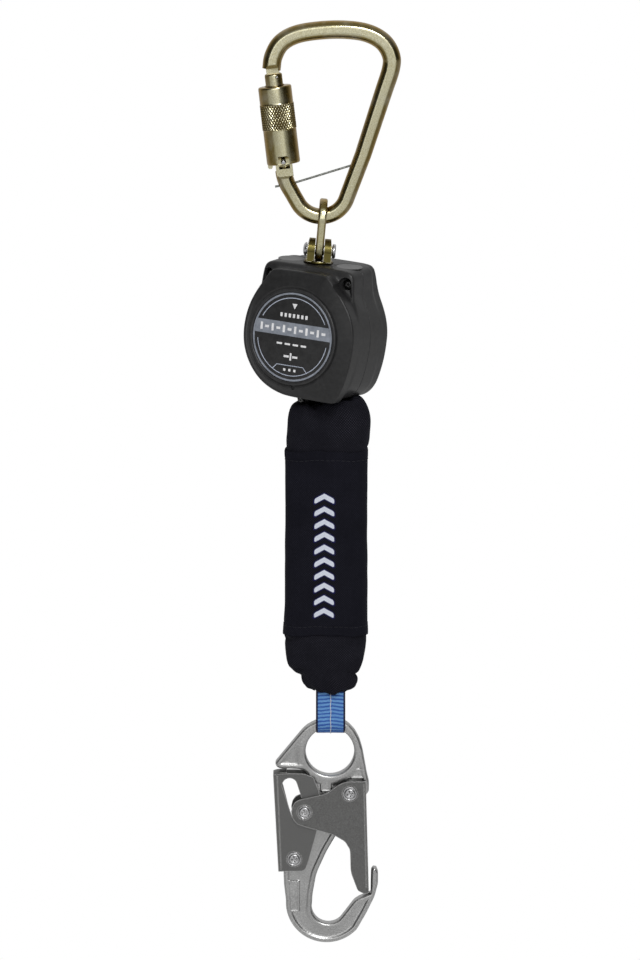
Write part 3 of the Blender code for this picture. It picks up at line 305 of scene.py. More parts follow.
def webbing(name, base, light, dark, edge=None, width=17.6, rib=2.2, stitch=None):
    """Flat webbing: ribs across it, a little higher in the middle, dark selvedges; UV.x runs across, UV.y along, in metres."""
    m = Mat(name)
    uvn = m.node("UVMap")
    uvn.uv_map = "UVMap"
    sep = m.node("SeparateXYZ", {0: uvn.outputs[0]})
    u, v = sep.outputs[0], sep.outputs[1]
    au = m.math('ABSOLUTE', u)
    bend = m.math('MULTIPLY', m.math('SUBTRACT', 0.0086, au), -0.10)
    wob = m.math('MULTIPLY', m.noise(240, 3.0, 0.6), 0.0011)
    s = m.math('SINE', m.math('MULTIPLY', m.math('ADD', m.math('ADD', v, bend), wob), 2 * math.pi / (rib * MM)))
    fine = m.math('SINE', m.math('MULTIPLY', m.math('ADD', u, m.math('MULTIPLY', wob, 0.3)), 2 * math.pi / 0.00062))
    yarn = m.math('SINE', m.math('MULTIPLY', v, 2 * math.pi / 0.00055))
    t = m.math('ADD', m.math('MULTIPLY', s, 0.5), 0.5)
    # painted light and shade: rib crests take the light colour, the troughs between them the dark one
    c = m.ramp(t, [(0.0, dark), (0.35, base), (0.78, light)])
    c = m.mix(m.math('MULTIPLY', m.math('ADD', m.math('MULTIPLY', fine, 0.5), 0.5), 0.22), c, dark)
    c = m.mix(m.ramp(m.noise(90, 3.0, 0.6), [(0.35, 0.0), (0.75, 0.35)]), c, base)
    if edge is not None:
        k = m.node("MapRange", {"Value": au, "From Min": (width / 2 - 1.35) * MM, "From Max": (width / 2 - 0.9) * MM}, clamp=True).outputs[0]
        c = m.mix(k, c, edge)
    h = m.math('ADD', m.math('MULTIPLY', fine, 0.4), m.math('MULTIPLY', yarn, 0.35))
    b = m.bump(h, 0.5, 0.00012)
    m.set(c, 0.72, 0.0, b, Sheen_Weight=0.2, Sheen_Roughness=0.4, Specular_IOR_Level=0.3)
    return m.m


def thread(name, col):
    m = Mat(name)
    s = m.noise(2500, 2.0, 0.5)
    return m.set(m.mix(m.ramp(s, [(0.3, 0.0), (0.7, 1.0)]), col, tuple(0.7 * v for v in col)), 0.7, 0.0, m.bump(s, 0.4, 0.0001))


def simple(name, lo, hi, rough, metal, scale=900, bump=0.2):
    m = Mat(name)
    s = m.noise(scale, 4.0, 0.7)
    c = m.ramp(s, [(0.3, lo), (0.7, hi)])
    return m.set(c, m.math('ADD', rough, m.math('MULTIPLY', s, 0.14)), metal, m.bump(s, bump, 0.00008))


ZINC = zinc_yellow()
ZINC_GROOVE_SHADE = zinc_groove_painted_shade()
STEEL = zinc_steel()
PLATE = plate_steel()
BRIGHT = bright_steel()
WIRE = wire_steel()
OLIVE = olive_brass()
PLASTIC = plastic()
CAP = plastic("cap_plastic", (0.017, 0.017, 0.018), (0.032, 0.032, 0.033), 0.55)
# lighter plastic for the discs in the roof's dishes: a painted highlight for the top light their smooth floors reflect
LIT_DISH_PLASTIC = plastic("roof_dish_painted_highlight", (0.085, 0.085, 0.086), (0.12, 0.12, 0.121), 0.6)
# dark steel: the real finish of the screws and nuts, and painted shade in the rivets' crimps and ring grooves
DARK_STEEL = plate_steel("blackened_steel_and_rivet_shade", (0.012, 0.012, 0.012), (0.03, 0.03, 0.03))
LABEL = label_ink("label_black", (0.0135, 0.0135, 0.014))
GREY_INK = label_ink("label_grey", (0.215, 0.235, 0.275), 0.36)
PALE_INK = label_ink("label_pale", (0.42, 0.46, 0.55), 0.36)
WHITE_INK = label_ink("label_white", (0.80, 0.80, 0.82), 0.4)
COVER = weave("cover_cloth", (0.0028, 0.0029, 0.0052), (0.062, 0.060, 0.082), 1.5, 0.85)
WRAP = weave("wrap_cloth", (0.0036, 0.0037, 0.0066), (0.036, 0.036, 0.056), 1.42, 0.75, motif=True)
BLUE = webbing("blue_webbing", (0.065, 0.20, 0.55), (0.21, 0.46, 0.82), (0.022, 0.075, 0.33), edge=(0.006, 0.006, 0.035))
LIFE = webbing("lifeline_cloth", (0.016, 0.016, 0.020), (0.040, 0.040, 0.048), (0.006, 0.006, 0.008), edge=(0.030, 0.075, 0.30), rib=1.9)
BLACK_THREAD = thread("dark_thread", (0.010, 0.010, 0.018))
PALE_THREAD = thread("pale_thread", (0.72, 0.76, 0.86))


# ================================================================ mesh helpers (all lengths in mm until finish_mesh)
def new_obj(name, verts, faces):
    me = bpy.data.meshes.new(name)
    me.from_pydata([tuple(map(float, v)) for v in verts], [], [tuple(f) for f in faces])
    me.update()
    ob = bpy.data.objects.new(name, me)
    coll.objects.link(ob)
    return ob


def bm_obj(name, bm):
    bmesh.ops.recalc_face_normals(bm, faces=bm.faces)
    me = bpy.data.meshes.new(name)
    bm.to_mesh(me)
    bm.free()
    ob = bpy.data.objects.new(name, me)
    coll.objects.link(ob)
    return ob


def apply_mods(ob):
    bpy.context.view_layer.update()
    me = bpy.data.meshes.new_from_object(ob.evaluated_get(bpy.context.evaluated_depsgraph_get()))
    ob.modifiers.clear()
    old = ob.data
    ob.data = me
    bpy.data.meshes.remove(old)
    return ob


def boole(ob, tool, op='DIFFERENCE'):
    m = ob.modifiers.new("b", 'BOOLEAN')
    m.operation = op
    m.solver = 'EXACT'
    m.object = tool
    apply_mods(ob)
    old = tool.data
    bpy.data.objects.remove(tool)
    bpy.data.meshes.remove(old)
    return ob


def fix_normals(ob):
    bm = bmesh.new()
    bm.from_mesh(ob.data)
    bmesh.ops.remove_doubles(bm, verts=bm.verts, dist=1e-4)
    bmesh.ops.dissolve_degenerate(bm, edges=bm.edges, dist=1e-4)
    bmesh.ops.recalc_face_normals(bm, faces=bm.faces)
    bm.to_mesh(ob.data)
    bm.free()
    return ob


def done(ob, fr, mat, body, reps=(), smooth=35, bevel=0.0, seg=2, angle=38, weighted=False, clean=True):
    """Put a mesh made in mm in its frame, give it its material and hang it on its body."""
    if clean:
        fix_normals(ob)
    ob.data.transform(fr @ Matrix.Scale(MM, 4))
    ob.data.materials.clear()
    ob.data.materials.append(mat)
    for p in ob.data.polygons:
        p.material_index = 0
    if smooth:
        ob.data.shade_smooth()
        if smooth < 180:
            ob.data.set_sharp_from_angle(angle=math.radians(smooth))
    if bevel:
        m = ob.modifiers.new("edge", 'BEVEL')
        m.width = bevel * MM
        m.segments = seg
        m.limit_method = 'ANGLE'
        m.angle_limit = math.radians(angle)
        m.harden_normals = False
        m.use_clamp_overlap = True
    if weighted:
        m = ob.modifiers.new("wn", 'WEIGHTED_NORMAL')
        m.keep_sharp = True
    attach(ob, body)
    if reps:
        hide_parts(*reps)
    return ob


def prism(pts, y0, y1, name="t"):
    bm = bmesh.new()
    vs = [bm.verts.new((x, y0, z)) for x, z in pts]
    f = bm.faces.new(vs)
    r = bmesh.ops.extrude_face_region(bm, geom=[f])
    bmesh.ops.translate(bm, verts=[g for g in r["geom"] if isinstance(g, bmesh.types.BMVert)], vec=(0, y1 - y0, 0))
    return bm_obj(name, bm)


def prism_x(pts, x0, x1, name="t"):
    bm = bmesh.new()
    vs = [bm.verts.new((x0, y, z)) for y, z in pts]
    f = bm.faces.new(vs)
    r = bmesh.ops.extrude_face_region(bm, geom=[f])
    bmesh.ops.translate(bm, verts=[g for g in r["geom"] if isinstance(g, bmesh.types.BMVert)], vec=(x1 - x0, 0, 0))
    return bm_obj(name, bm)


def cyl(c, axis, r, a, b, n=48, r2=None, name="t"):
    bm = bmesh.new()
    bmesh.ops.create_cone(bm, cap_ends=True, segments=n, radius1=r, radius2=r if r2 is None else r2, depth=b - a)
    bmesh.ops.translate(bm, verts=bm.verts, vec=(0, 0, (a + b) / 2))
    if axis == 'Y':
        bmesh.ops.rotate(bm, verts=bm.verts, matrix=Matrix.Rotation(-math.pi / 2, 3, 'X'))
    elif axis == 'X':
        bmesh.ops.rotate(bm, verts=bm.verts, matrix=Matrix.Rotation(math.pi / 2, 3, 'Y'))
    bmesh.ops.translate(bm, verts=bm.verts, vec=c)
    return bm_obj(name, bm)


def turned(profile, axis='Z', c=(0, 0, 0), n=64, name="t"):
    bm = bmesh.new()
    vs = [bm.verts.new((r, 0, h)) for r, h in profile]
    es = [bm.edges.new(p) for p in zip(vs, vs[1:])]
    if profile[0][0] > 1e-6 and profile[-1][0] > 1e-6:
        es.append(bm.edges.new((vs[-1], vs[0])))
    bmesh.ops.spin(bm, geom=vs + es, cent=(0, 0, 0), axis=(0, 0, 1), angle=2 * math.pi, steps=n, use_merge=True)
    bmesh.ops.remove_doubles(bm, verts=bm.verts, dist=1e-4)
    if axis == 'Y':
        bmesh.ops.rotate(bm, verts=bm.verts, matrix=Matrix.Rotation(-math.pi / 2, 3, 'X'))
    elif axis == 'X':
        bmesh.ops.rotate(bm, verts=bm.verts, matrix=Matrix.Rotation(math.pi / 2, 3, 'Y'))
    bmesh.ops.translate(bm, verts=bm.verts, vec=c)
    return bm_obj(name, bm)


def skin(rings, closed=False, name="t"):
    n = len(rings[0])
    V = [p for r in rings for p in r]
    F = []
    m = len(rings)
    for k in range(m if closed else m - 1):
        a, b = k * n, ((k + 1) % m) * n
        for i in range(n):
            j = (i + 1) % n
            F.append((a + i, a + j, b + j, b + i))
    if not closed:
        F.append(tuple(range(n))[::-1])
        F.append(tuple((m - 1) * n + i for i in range(n)))
    ob = new_obj(name, V, F)
    bm = bmesh.new()
    bm.from_mesh(ob.data)
    bmesh.ops.recalc_face_normals(bm, faces=bm.faces)
    bm.to_mesh(ob.data)
    bm.free()
    return ob


def round_profile(pts, r=0.4, k=2):
    """Round the corners of an open (radius, height) profile, keeping both ends."""
    out = [pts[0]]
    for i in range(1, len(pts) - 1):
        a, b, c = Vector(pts[i - 1]), Vector(pts[i]), Vector(pts[i + 1])
        la, lc = (a - b).length, (c - b).length
        if la < 1e-6 or lc < 1e-6:
            continue
        p, q = b + (a - b) * min(0.45, r / la), b + (c - b) * min(0.45, r / lc)
        for s in range(k + 2):
            t = s / (k + 1)
            v = p * (1 - t) ** 2 + b * 2 * t * (1 - t) + q * t * t
            out.append((v.x, v.y))
    out.append(pts[-1])
    return out


def fillet(pts, r=1.5, k=3):
    """Closed outline with each corner rounded over at most r of either side."""
    P = []
    n = len(pts)
    for i in range(n):
        a, b, c = Vector(pts[i - 1]), Vector(pts[i]), Vector(pts[(i + 1) % n])
        la, lc = (a - b).length, (c - b).length
        P += [b + (a - b) * min(0.5, r / la), b, b + (c - b) * min(0.5, r / lc)]
    Q = []
    for p in P:
        if not Q or (p - Q[-1]).length > 1e-4:
            Q.append(p)
    if (Q[0] - Q[-1]).length < 1e-4:
        Q.pop()
    for _ in range(k):
        Q = [v for i in range(len(Q)) for v in (Q[i] * 0.75 + Q[(i + 1) % len(Q)] * 0.25, Q[i] * 0.25 + Q[(i + 1) % len(Q)] * 0.75)]
    return [(p.x, p.y) for p in Q]


def resample(pts, step):
    """Closed outline again, with points evenly spaced along it."""
    P = np.array(list(pts) + [pts[0]], float)
    L = np.r_[0, np.cumsum(np.hypot(*np.diff(P, axis=0).T))]
    n = max(8, int(round(L[-1] / step)))
    t = np.linspace(0, L[-1], n, endpoint=False)
    return np.c_[np.interp(t, L, P[:, 0]), np.interp(t, L, P[:, 1])]


def dist_to(P, loops):
    best = np.full(len(P), 1e9)
    for L in loops:
        A = np.asarray(L, float)
        D = np.roll(A, -1, 0) - A
        ll = (D ** 2).sum(1) + 1e-12
        for s in range(0, len(P), 1500):
            Q = P[s:s + 1500, None, :] - A[None]
            t = np.clip((Q * D[None]).sum(-1) / ll, 0, 1)
            d = np.sqrt(((Q - D[None] * t[..., None]) ** 2).sum(-1)).min(1)
            best[s:s + 1500] = np.minimum(best[s:s + 1500], d)
    return best


def inside(P, loop):
    A = np.asarray(loop, float)
    B = np.roll(A, -1, 0)
    res = np.zeros(len(P), bool)
    for a, b in zip(A, B):
        if a[1] == b[1]:
            continue
        hit = ((a[1] > P[:, 1]) != (b[1] > P[:, 1])) & (P[:, 0] < (b[0] - a[0]) * (P[:, 1] - a[1]) / (b[1] - a[1]) + a[0])
        res ^= hit
    return res


def plate(name, outer, holes, depth, levels, grid=0.9, back=None, step=0.6, extra=None):
    """A forged or pressed plate in the XZ plane: the outline and its holes are meshed, and each point's half
    thickness comes from depth(distance to the edge, points).  The back takes `back` or mirrors the front."""
    loops = [resample(outer, step)] + [resample(h, step) for h in holes]

    def ok(P, d, least):
        m = inside(P, loops[0]) & (d > least)
        for h in loops[1:]:
            m &= ~inside(P, h)
        return m
    pts = [np.vstack(loops)]
    nb = len(pts[0])
    for lv in levels:
        for k, L in enumerate(loops):
            T = np.roll(L, -1, 0) - np.roll(L, 1, 0)
            T /= np.linalg.norm(T, axis=1)[:, None] + 1e-12
            N = np.c_[-T[:, 1], T[:, 0]]
            area = 0.5 * np.sum(L[:, 0] * np.roll(L[:, 1], -1) - np.roll(L[:, 0], -1) * L[:, 1])
            s = (1 if area > 0 else -1) * (1 if k == 0 else -1)
            Q = L + N * lv * s
            d = dist_to(Q, loops)
            Q = Q[ok(Q, d, 0.93 * lv)]
            pts.append(Q)
    P0 = np.vstack(loops)
    lo, hi = P0.min(0), P0.max(0)
    gx = np.arange(lo[0], hi[0], grid)
    gz = np.arange(lo[1], hi[1], grid * 0.866)
    G = np.array([(x + (grid / 2 if j % 2 else 0), z) for j, z in enumerate(gz) for x in gx])
    d = dist_to(G, loops)
    G = G[ok(G, d, (levels[-1] if levels else 0) + 0.5 * grid)]
    pts.append(G)
    if extra is not None:
        E = np.array(extra, float)
        d = dist_to(E, loops)
        pts.append(E[ok(E, d, 0.3)])
    P = np.vstack(pts)
    # drop near-duplicates, keeping the boundary
    key = np.round(P / 0.12).astype(int)
    seen, keep = set(), []
    for i, kk in enumerate(map(tuple, key)):
        if i < nb or kk not in seen:
            keep.append(i)
            seen.add(kk)
    P = P[keep]
    edges, s = [], 0
    for L in loops:
        n = len(L)
        edges += [(s + i, s + (i + 1) % n) for i in range(n)]
        s += n
    r = geometry.delaunay_2d_cdt([Vector(p) for p in P], edges, [], 0, 1e-6)
    V = np.array([(v.x, v.y) for v in r[0]])
    T = np.array([f for f in r[2] if len(f) == 3])
    C = V[T].mean(1)
    m = inside(C, loops[0])
    for h in loops[1:]:
        m &= ~inside(C, h)
    T = T[m]
    used = np.unique(T)
    remap = -np.ones(len(V), int)
    remap[used] = np.arange(len(used))
    V, T = V[used], remap[T]
    d = dist_to(V, loops)
    d[d < 1e-4] = 0
    yf = depth(d, V)
    yb = (back or depth)(d, V)
    n = len(V)
    F = np.c_[V[:, 0], -yf, V[:, 1]]
    B = np.c_[V[:, 0], yb, V[:, 1]]
    faces = [tuple(t) for t in T] + [tuple(t[::-1] + n) for t in T]
    cnt = {}
    for t in T:
        for a, b in ((t[0], t[1]), (t[1], t[2]), (t[2], t[0])):
            cnt[(a, b)] = 1
    rim = [(a, b) for (a, b) in cnt if (b, a) not in cnt]
    for a, b in rim:
        faces.append((b, a, a + n, b + n))
    return new_obj(name, np.vstack([F, B]), faces)


def dome(r, H):
    """Quarter-round edge of radius r on a plate of half thickness H."""
    return lambda d, V: np.where(d < r, H - r + np.sqrt(np.maximum(r * r - (r - np.minimum(d, r)) ** 2, 0)), H)


def catmull(pts, steps):
    P = [Vector(pts[0]) * 2 - Vector(pts[1])] + [Vector(p) for p in pts] + [Vector(pts[-1]) * 2 - Vector(pts[-2])]
    out = []
    for i in range(1, len(P) - 2):
        for k in range(steps):
            t = k / steps
            a, b, c, d = P[i - 1], P[i], P[i + 1], P[i + 2]
            out.append(0.5 * ((2 * b) + (c - a) * t + (2 * a - 5 * b + 4 * c - d) * t * t + (3 * b - a - 3 * c + d) * t ** 3))
    out.append(P[-2])
    return out


def circle2(c, r, n, a0=0.0, a1=360.0):
    full = abs(a1 - a0) >= 359.9
    m = n if full else n + 1
    return [(c[0] + r * math.cos(math.radians(a0 + (a1 - a0) * i / n)), c[1] + r * math.sin(math.radians(a0 + (a1 - a0) * i / n))) for i in range(m)]


def sweep(path, section, name="t", up=Vector((0, 1, 0)), caps=True):
    rings = []
    for i, p in enumerate(path):
        a, b = Vector(path[max(i - 1, 0)]), Vector(path[min(i + 1, len(path) - 1)])
        t = (b - a).normalized()
        side = up.cross(t).normalized()
        u = t.cross(side).normalized()
        rings.append([Vector(p) + side * s + u * w for s, w in section(i)])
    return skin(rings, name=name)


def tube(name, pts, r, fr, mat, body, reps=(), sides=4, cyclic=False):
    """Round wire or thread through points, as a curve with a round bevel, made a mesh."""
    cu = bpy.data.curves.new(name, 'CURVE')
    cu.dimensions = '3D'
    cu.bevel_depth = r
    cu.bevel_resolution = sides
    cu.use_fill_caps = True
    sp = cu.splines.new('POLY')
    sp.points.add(len(pts) - 1)
    sp.use_cyclic_u = cyclic
    for p, q in zip(sp.points, pts):
        p.co = (*q, 1)
    tmp = bpy.data.objects.new(name + "_c", cu)
    coll.objects.link(tmp)
    bpy.context.view_layer.update()
    me = bpy.data.meshes.new_from_object(tmp.evaluated_get(bpy.context.evaluated_depsgraph_get()))
    bpy.data.objects.remove(tmp)
    bpy.data.curves.remove(cu)
    me.name = name
    ob = bpy.data.objects.new(name, me)
    coll.objects.link(ob)
    return done(ob, fr, mat, body, reps, smooth=60)


# ================================================================ carabiner
AC = Vector((5.4, 86.6))
ARC_R = 16.0
upper = [(-29.5, 71.6), (-28.3, 79.2), (-23.8, 87.0), (-15.2, 92.0), (-2.4, 94.4), (13.2, 95.0),
         (26.6, 93.2), (36.2, 88.2), (41.2, 80.5), (41.4, 72.2), (36.3, 56.1), (24.8, 20.6)]
bow = [v + AC for v in catmull(upper, 9)]
bow += [AC + Vector((ARC_R * math.sin(math.radians(a)), -ARC_R * math.cos(math.radians(a)))) for a in np.arange(68, -60, -4.0)]
tail = [(-15.6, -5.0), (-17.3, -1.9), (-20.0, 3.0), (-21.6, 7.6), (-22.3, 12.0)]
bow += [v + AC for v in catmull(tail, 5)]
lens = [0.0]
for a, b in zip(bow, bow[1:]):
    lens.append(lens[-1] + (b - a).length)


def rod_section(w, flat=0.90, n=9):
    """Round rod of radius w with a flat rolled on the front and back; the flat's edges are crisp."""
    d = flat * w
    e = math.sqrt(w * w - d * d)
    a0 = math.asin(d / w)
    q = [(e * 0.55, d), (e * 0.93, d), (e * 1.0, d - 0.012 * w), (w * math.cos(a0 - 0.07), w * math.sin(a0 - 0.07))]
    q += [(w * math.cos(a), w * math.sin(a)) for a in np.linspace(a0 - 0.16, 0, n)]
    top = [(0.0, d)] + q                       # from the middle of the flat to the side
    right = top + [(x, -y) for x, y in top[::-1][1:]]
    left = [(-x, y) for x, y in right[1:-1][::-1]]
    return right + left


def bow_sec(i):
    t = lens[i] / lens[-1]
    w = 5.5 - 0.75 * max(0.0, min(1.0, (t - 0.35) / 0.4)) + 0.35 * max(0.0, min(1.0, (t - 0.93) / 0.06))
    return rod_section(w, 0.922 - 0.015 * math.sin(3.1 * t))


body = sweep([(v.x, 0, v.y) for v in bow], bow_sec)
ga = Vector((math.sin(math.radians(GATE_LEAN)), -math.cos(math.radians(GATE_LEAN))))
gp = Vector((-ga.y, ga.x))
H = Vector(HINGE)
GT = 52.6


def gq(p, g):
    v = H + gp * p + ga * g
    return (v.x, v.y)


fork = [gq(5.0, 9.0), gq(-4.8, 8.0)] + [gq(-5.0 * math.cos(a), -4.7 * math.sin(a)) for a in np.linspace(0.05, math.pi - 0.05, 21)]
boole(body, prism(fork, -4.3, 4.3), 'UNION')
# the fork's faces are milled flat, with a ramp up to the rod
for s in (-1, 1):
    prof = [(-12, 3.75), (8.6, 3.75), (11.4, 5.6), (11.4, 9), (-12, 9)]
    ring = []
    for pp in (-9.0, 9.0):
        ring.append([(*gq(pp, g), s * y) for g, y in prof])
    tool = skin([[(x, y, z) for x, z, y in r] for r in ring])
    boole(body, tool)
N0 = H - ga * (GT + 0.6)


def nq(p, g):
    v = N0 + gp * p + ga * g
    return (v.x, v.y)


boole(body, prism([nq(-9, 0), nq(9, 0), nq(9, 8), nq(-9, 8)], -9, 9))
for s in (-1, 1):
    prof = [(3, 3.9), (-2.6, 3.9), (-5.9, 5.7), (-5.9, 9), (3, 9)]
    tool = skin([[(*nq(pp, g), s * y) for g, y in prof] for pp in (-9.0, 9.0)])
    tool2 = tool
    co = [(v.co.x, v.co.y, v.co.z) for v in tool2.data.vertices]
    for v, (x, z, y) in zip(tool2.data.vertices, co):
        v.co = (x, y, z)
    fix_normals(tool2)
    boole(body, tool2)
blade = [nq(-3.9, -2.5), nq(3.9, -2.5), nq(3.9, 1.4), nq(0.4, 1.4), nq(0.4, 3.9), nq(3.4, 3.9), nq(3.4, 5.4), nq(-3.9, 5.4)]
boole(body, prism(blade, -1.8, 1.8), 'UNION')
# slot for the gate's tongue, hinge hole, pocket round the hinge pin's ends, wire holes
boole(body, prism([gq(9, 5.3), gq(-9, 5.3), gq(-9, -8), gq(9, -8)], -2.0, 2.0))
boole(body, cyl((H.x, 0, H.y), 'Y', 1.65, -7, 7, 32))
for s in (-1, 1):
    c = H + gp * 0.3 + ga * 0.2
    t = cyl((0, 0, 0), 'X', 5.2, -3.3, 3.3, 48)
    t.data.transform(Matrix.Translation(Vector((c.x, s * 7.1, c.y))) @ Matrix.Rotation(math.radians(-GATE_LEAN), 4, 'Y'))
    boole(body, t)
wp = [(-26.0, 0, 87.5), (-10.2, 0, 90.7), (22.9, 0, 100.9), (25.2, 0, 101.6)]
boole(body, sweep(wp, lambda i: [(0.85 * math.cos(a), 0.85 * math.sin(a)) for a in np.linspace(0, 2 * math.pi, 16, endpoint=False)]))
body.name = "carabiner_rod"
done(body, WORLD, ZINC, "carabiner", ["carabiner_body"], smooth=32, bevel=0.16, seg=2, angle=42, weighted=True)

wire_pts = [Vector(p) for p in [(-22.0, 0, 88.3), (-10.2, 0, 90.7), (22.9, 0, 100.9), (24.6, 0, 101.4)]]
wpts = []
for a, b in zip(wire_pts, wire_pts[1:]):
    wpts += [a.lerp(b, k / 6) for k in range(6)]
wpts.append(wire_pts[-1])
tube("captive_wire_bar", wpts, 0.64, WORLD, WIRE, "carabiner", ["captive_wire"], sides=5)
pin = turned(round_profile([(0, 4.35), (0.75, 4.3), (1.25, 4.05), (1.5, 3.7), (1.5, -3.7), (1.25, -4.05), (0.75, -4.3), (0, -4.35)], 0.2), 'Y', (H.x, 0, H.y), 32)
pin.name = "gate_hinge_pin_polished"
done(pin, WORLD, BRIGHT, "carabiner", ["gate_hinge_pin"], smooth=50)

# gate post with its collar, slot and rounded tongue
gate = turned(round_profile([(0, GT), (5.0, GT), (5.6, GT - 0.6), (5.6, 45.4), (5.2, 44.6), (5.2, -3.4), (4.7, -4.2), (0, -4.2)], 0.35, 2), 'Z', n=64)
for s in (1, -1):
    boole(gate, prism([(-8, -8), (8, -8), (8, 6.6), (-8, 6.6)], *sorted((s * 1.8, s * 8.2))))
boole(gate, prism([(-8, -8), (8, -8), (8, 0)] + circle2((0, 0), 4.3, 24, 0, -180) + [(-8, 0)], -9, 9))
boole(gate, cyl((0, 0, 0), 'Y', 1.62, -9, 9, 32))
boole(gate, prism([(-9, GT - 6.6), (9, GT - 6.6), (9, GT + 3), (-9, GT + 3)], -2.2, 2.2))
boole(gate, cyl((1.9, 0, GT - 2.05), 'Y', 0.8, -9, 9, 24))
gate.name = "gate_post"
done(gate, GATE, ZINC, "gate", ["carabiner_gate"], smooth=35, bevel=0.15, seg=2, angle=45, weighted=True)
lp = turned(round_profile([(0, 5.05), (0.5, 5.0), (0.72, 4.75), (0.72, -4.75), (0.5, -5.0), (0, -5.05)], 0.1), 'Y', (1.9, 0, GT - 2.05), 24)
lp.name = "gate_latch_pin_polished"
done(lp, GATE, BRIGHT, "gate", ["gate_latch_pin"], smooth=50)

# sleeve: barrel with a cut diamond knurl, foot window and side lug
K0, K1 = 19.7, 34.6
outer_prof = [(6.0, 45.3, 0), (8.9, 45.3, 0), (9.45, 45.12, 0), (9.75, 44.75, 0), (9.88, 44.3, 0), (9.9, 43.6, 0), (9.9, 39.0, 0), (9.9, 35.6, 0), (9.9, 34.9, 0)]
nk = 54
for k in range(nk + 1):
    outer_prof.append((10.16, K1 - (K1 - K0) * k / nk, 1))
outer_prof += [(9.9, 19.4, 0), (9.9, 18.6, 0), (9.9, 12.0, 0), (9.9, 6.0, 0), (9.9, 0.6, 0), (9.86, -0.3, 0), (9.7, -0.8, 0), (9.4, -1.1, 0), (9.0, -1.2, 0), (7.5, -1.2, 0),
               (7.5, 8.0, 0), (7.6, 12.0, 0), (7.6, 40.0, 0), (6.0, 40.4, 0)]
NS = 360
rings = []
for r, z, kn in outer_prof:
    ring = []
    for i in range(NS):
        a = 2 * math.pi * i / NS
        rr = r
        if kn:
            # two crossing helices of 36 starts leave raised diamonds
            p = a * 36
            q = (z - K0) * 2 * math.pi / 2.8
            h = min(abs(((p + q) / (2 * math.pi)) % 1 - 0.5), abs(((p - q) / (2 * math.pi)) % 1 - 0.5)) * 2
            fade = min(1.0, (K1 - z) / 0.5 + 0.15, (z - K0) / 0.5 + 0.15)
            rr = r - 0.42 * fade * (1 - min(1.0, h / 0.62))
        ring.append((rr * math.cos(a), rr * math.sin(a), z))
    rings.append(ring)
sleeve = skin(rings, closed=True)
boole(sleeve, prism(fillet([(-3.7, -3), (3.7, -3), (3.7, 2.6), (2.6, 3.9), (-2.6, 3.9), (-3.7, 2.6)], 0.5, 2), -12, -2))
boole(sleeve, prism(fillet([(-9.5, 1.5), (-6.6, 1.5), (-6.6, -2.4), (-7.3, -3.3), (-8.8, -3.3), (-9.5, -2.4)], 0.7, 2), -2.6, 2.6), 'UNION')
sleeve.name = "knurled_sleeve"
done(sleeve, GATE, ZINC, "sleeve", ["gate_sleeve"], smooth=38, bevel=0)
# painted shade: faces of the knurl band that lie down in its grooves take the darker groove metal
sleeve.data.materials.append(ZINC_GROOVE_SHADE)
back = (GATE @ Matrix.Scale(MM, 4)).inverted()
for p in sleeve.data.polygons:
    v = back @ p.center
    if K0 < v.z < K1 and 9.3 < math.hypot(v.x, v.y) < 9.92:
        p.material_index = 1

# ================================================================ swivel eye, clevis and pin
eye_out = resample(circle2((0, 70.2), 11.4, 60, -20, 200) + circle2((0, PIN_Z), 6.4, 36, 195, 345), 0.8)
eye = plate("swivel_link", eye_out, [circle2((0, 70.3), 6.7, 64), circle2((0, PIN_Z), 3.12, 40)],
            dome(1.25, 2.4), [0.04, 0.15, 0.35, 0.62, 0.95, 1.25, 1.6], grid=1.0, step=0.6)
eye.data.transform(Matrix.Rotation(math.pi / 2, 4, 'Z'))
done(eye, HANG, ZINC, "eye", ["swivel_eye"], smooth=60, clean=True)

clev = turned(round_profile([(0, 45.6), (7.0, 45.6), (8.2, 44.7), (8.6, 43.4), (8.1, 42.5), (4.8, 42.3), (4.8, 30.4), (0, 30.4)], 0.5, 3), 'Z', n=72)
cheek = [(-7.2, 44.0), (7.2, 44.0)] + circle2((0, PIN_Z), 7.0, 40, -10, 190)
boole(clev, prism_x(cheek, -7.3, 7.3), 'UNION')
for s in (1, -1):
    # the cheeks lean in towards their tops
    t = prism([(s * 9.5, 62), (s * 6.3, 62), (s * 6.5, 57.0), (s * 7.25, 52.0), (s * 7.45, 47.5), (s * 9.5, 47.5)], -12, 12)
    boole(clev, t)
boole(clev, prism_x([(-12, 44.4), (12, 44.4), (12, 62), (-12, 62)], -2.75, 2.75))
boole(clev, cyl((0, 0, PIN_Z), 'X', 3.1, -12, 12, 40))
clev.name = "swivel_fork"
done(clev, HANG, OLIVE, "clevis", ["swivel_clevis"], smooth=35, bevel=0.38, seg=3, angle=40, weighted=True)
cp = turned([(0, -9.75), (1.2, -9.7), (2.3, -9.5), (3.2, -9.15), (3.85, -8.65), (4.15, -8.1), (4.2, -7.75), (4.05, -7.6), (3.0, -7.55), (3.0, 0), (3.0, 7.55), (4.05, 7.6), (4.25, 7.85),
             (4.3, 8.6), (4.2, 9.15), (3.9, 9.5), (3.4, 9.65), (2.8, 9.6), (2.35, 9.3), (2.1, 8.8), (1.9, 8.1), (1.6, 7.95), (0, 7.9)], 'X', (0, 0, PIN_Z), 48)
cp.name = "clevis_cross_pin"
done(cp, HANG, BRIGHT, "clevis", ["clevis_pin"], smooth=40)

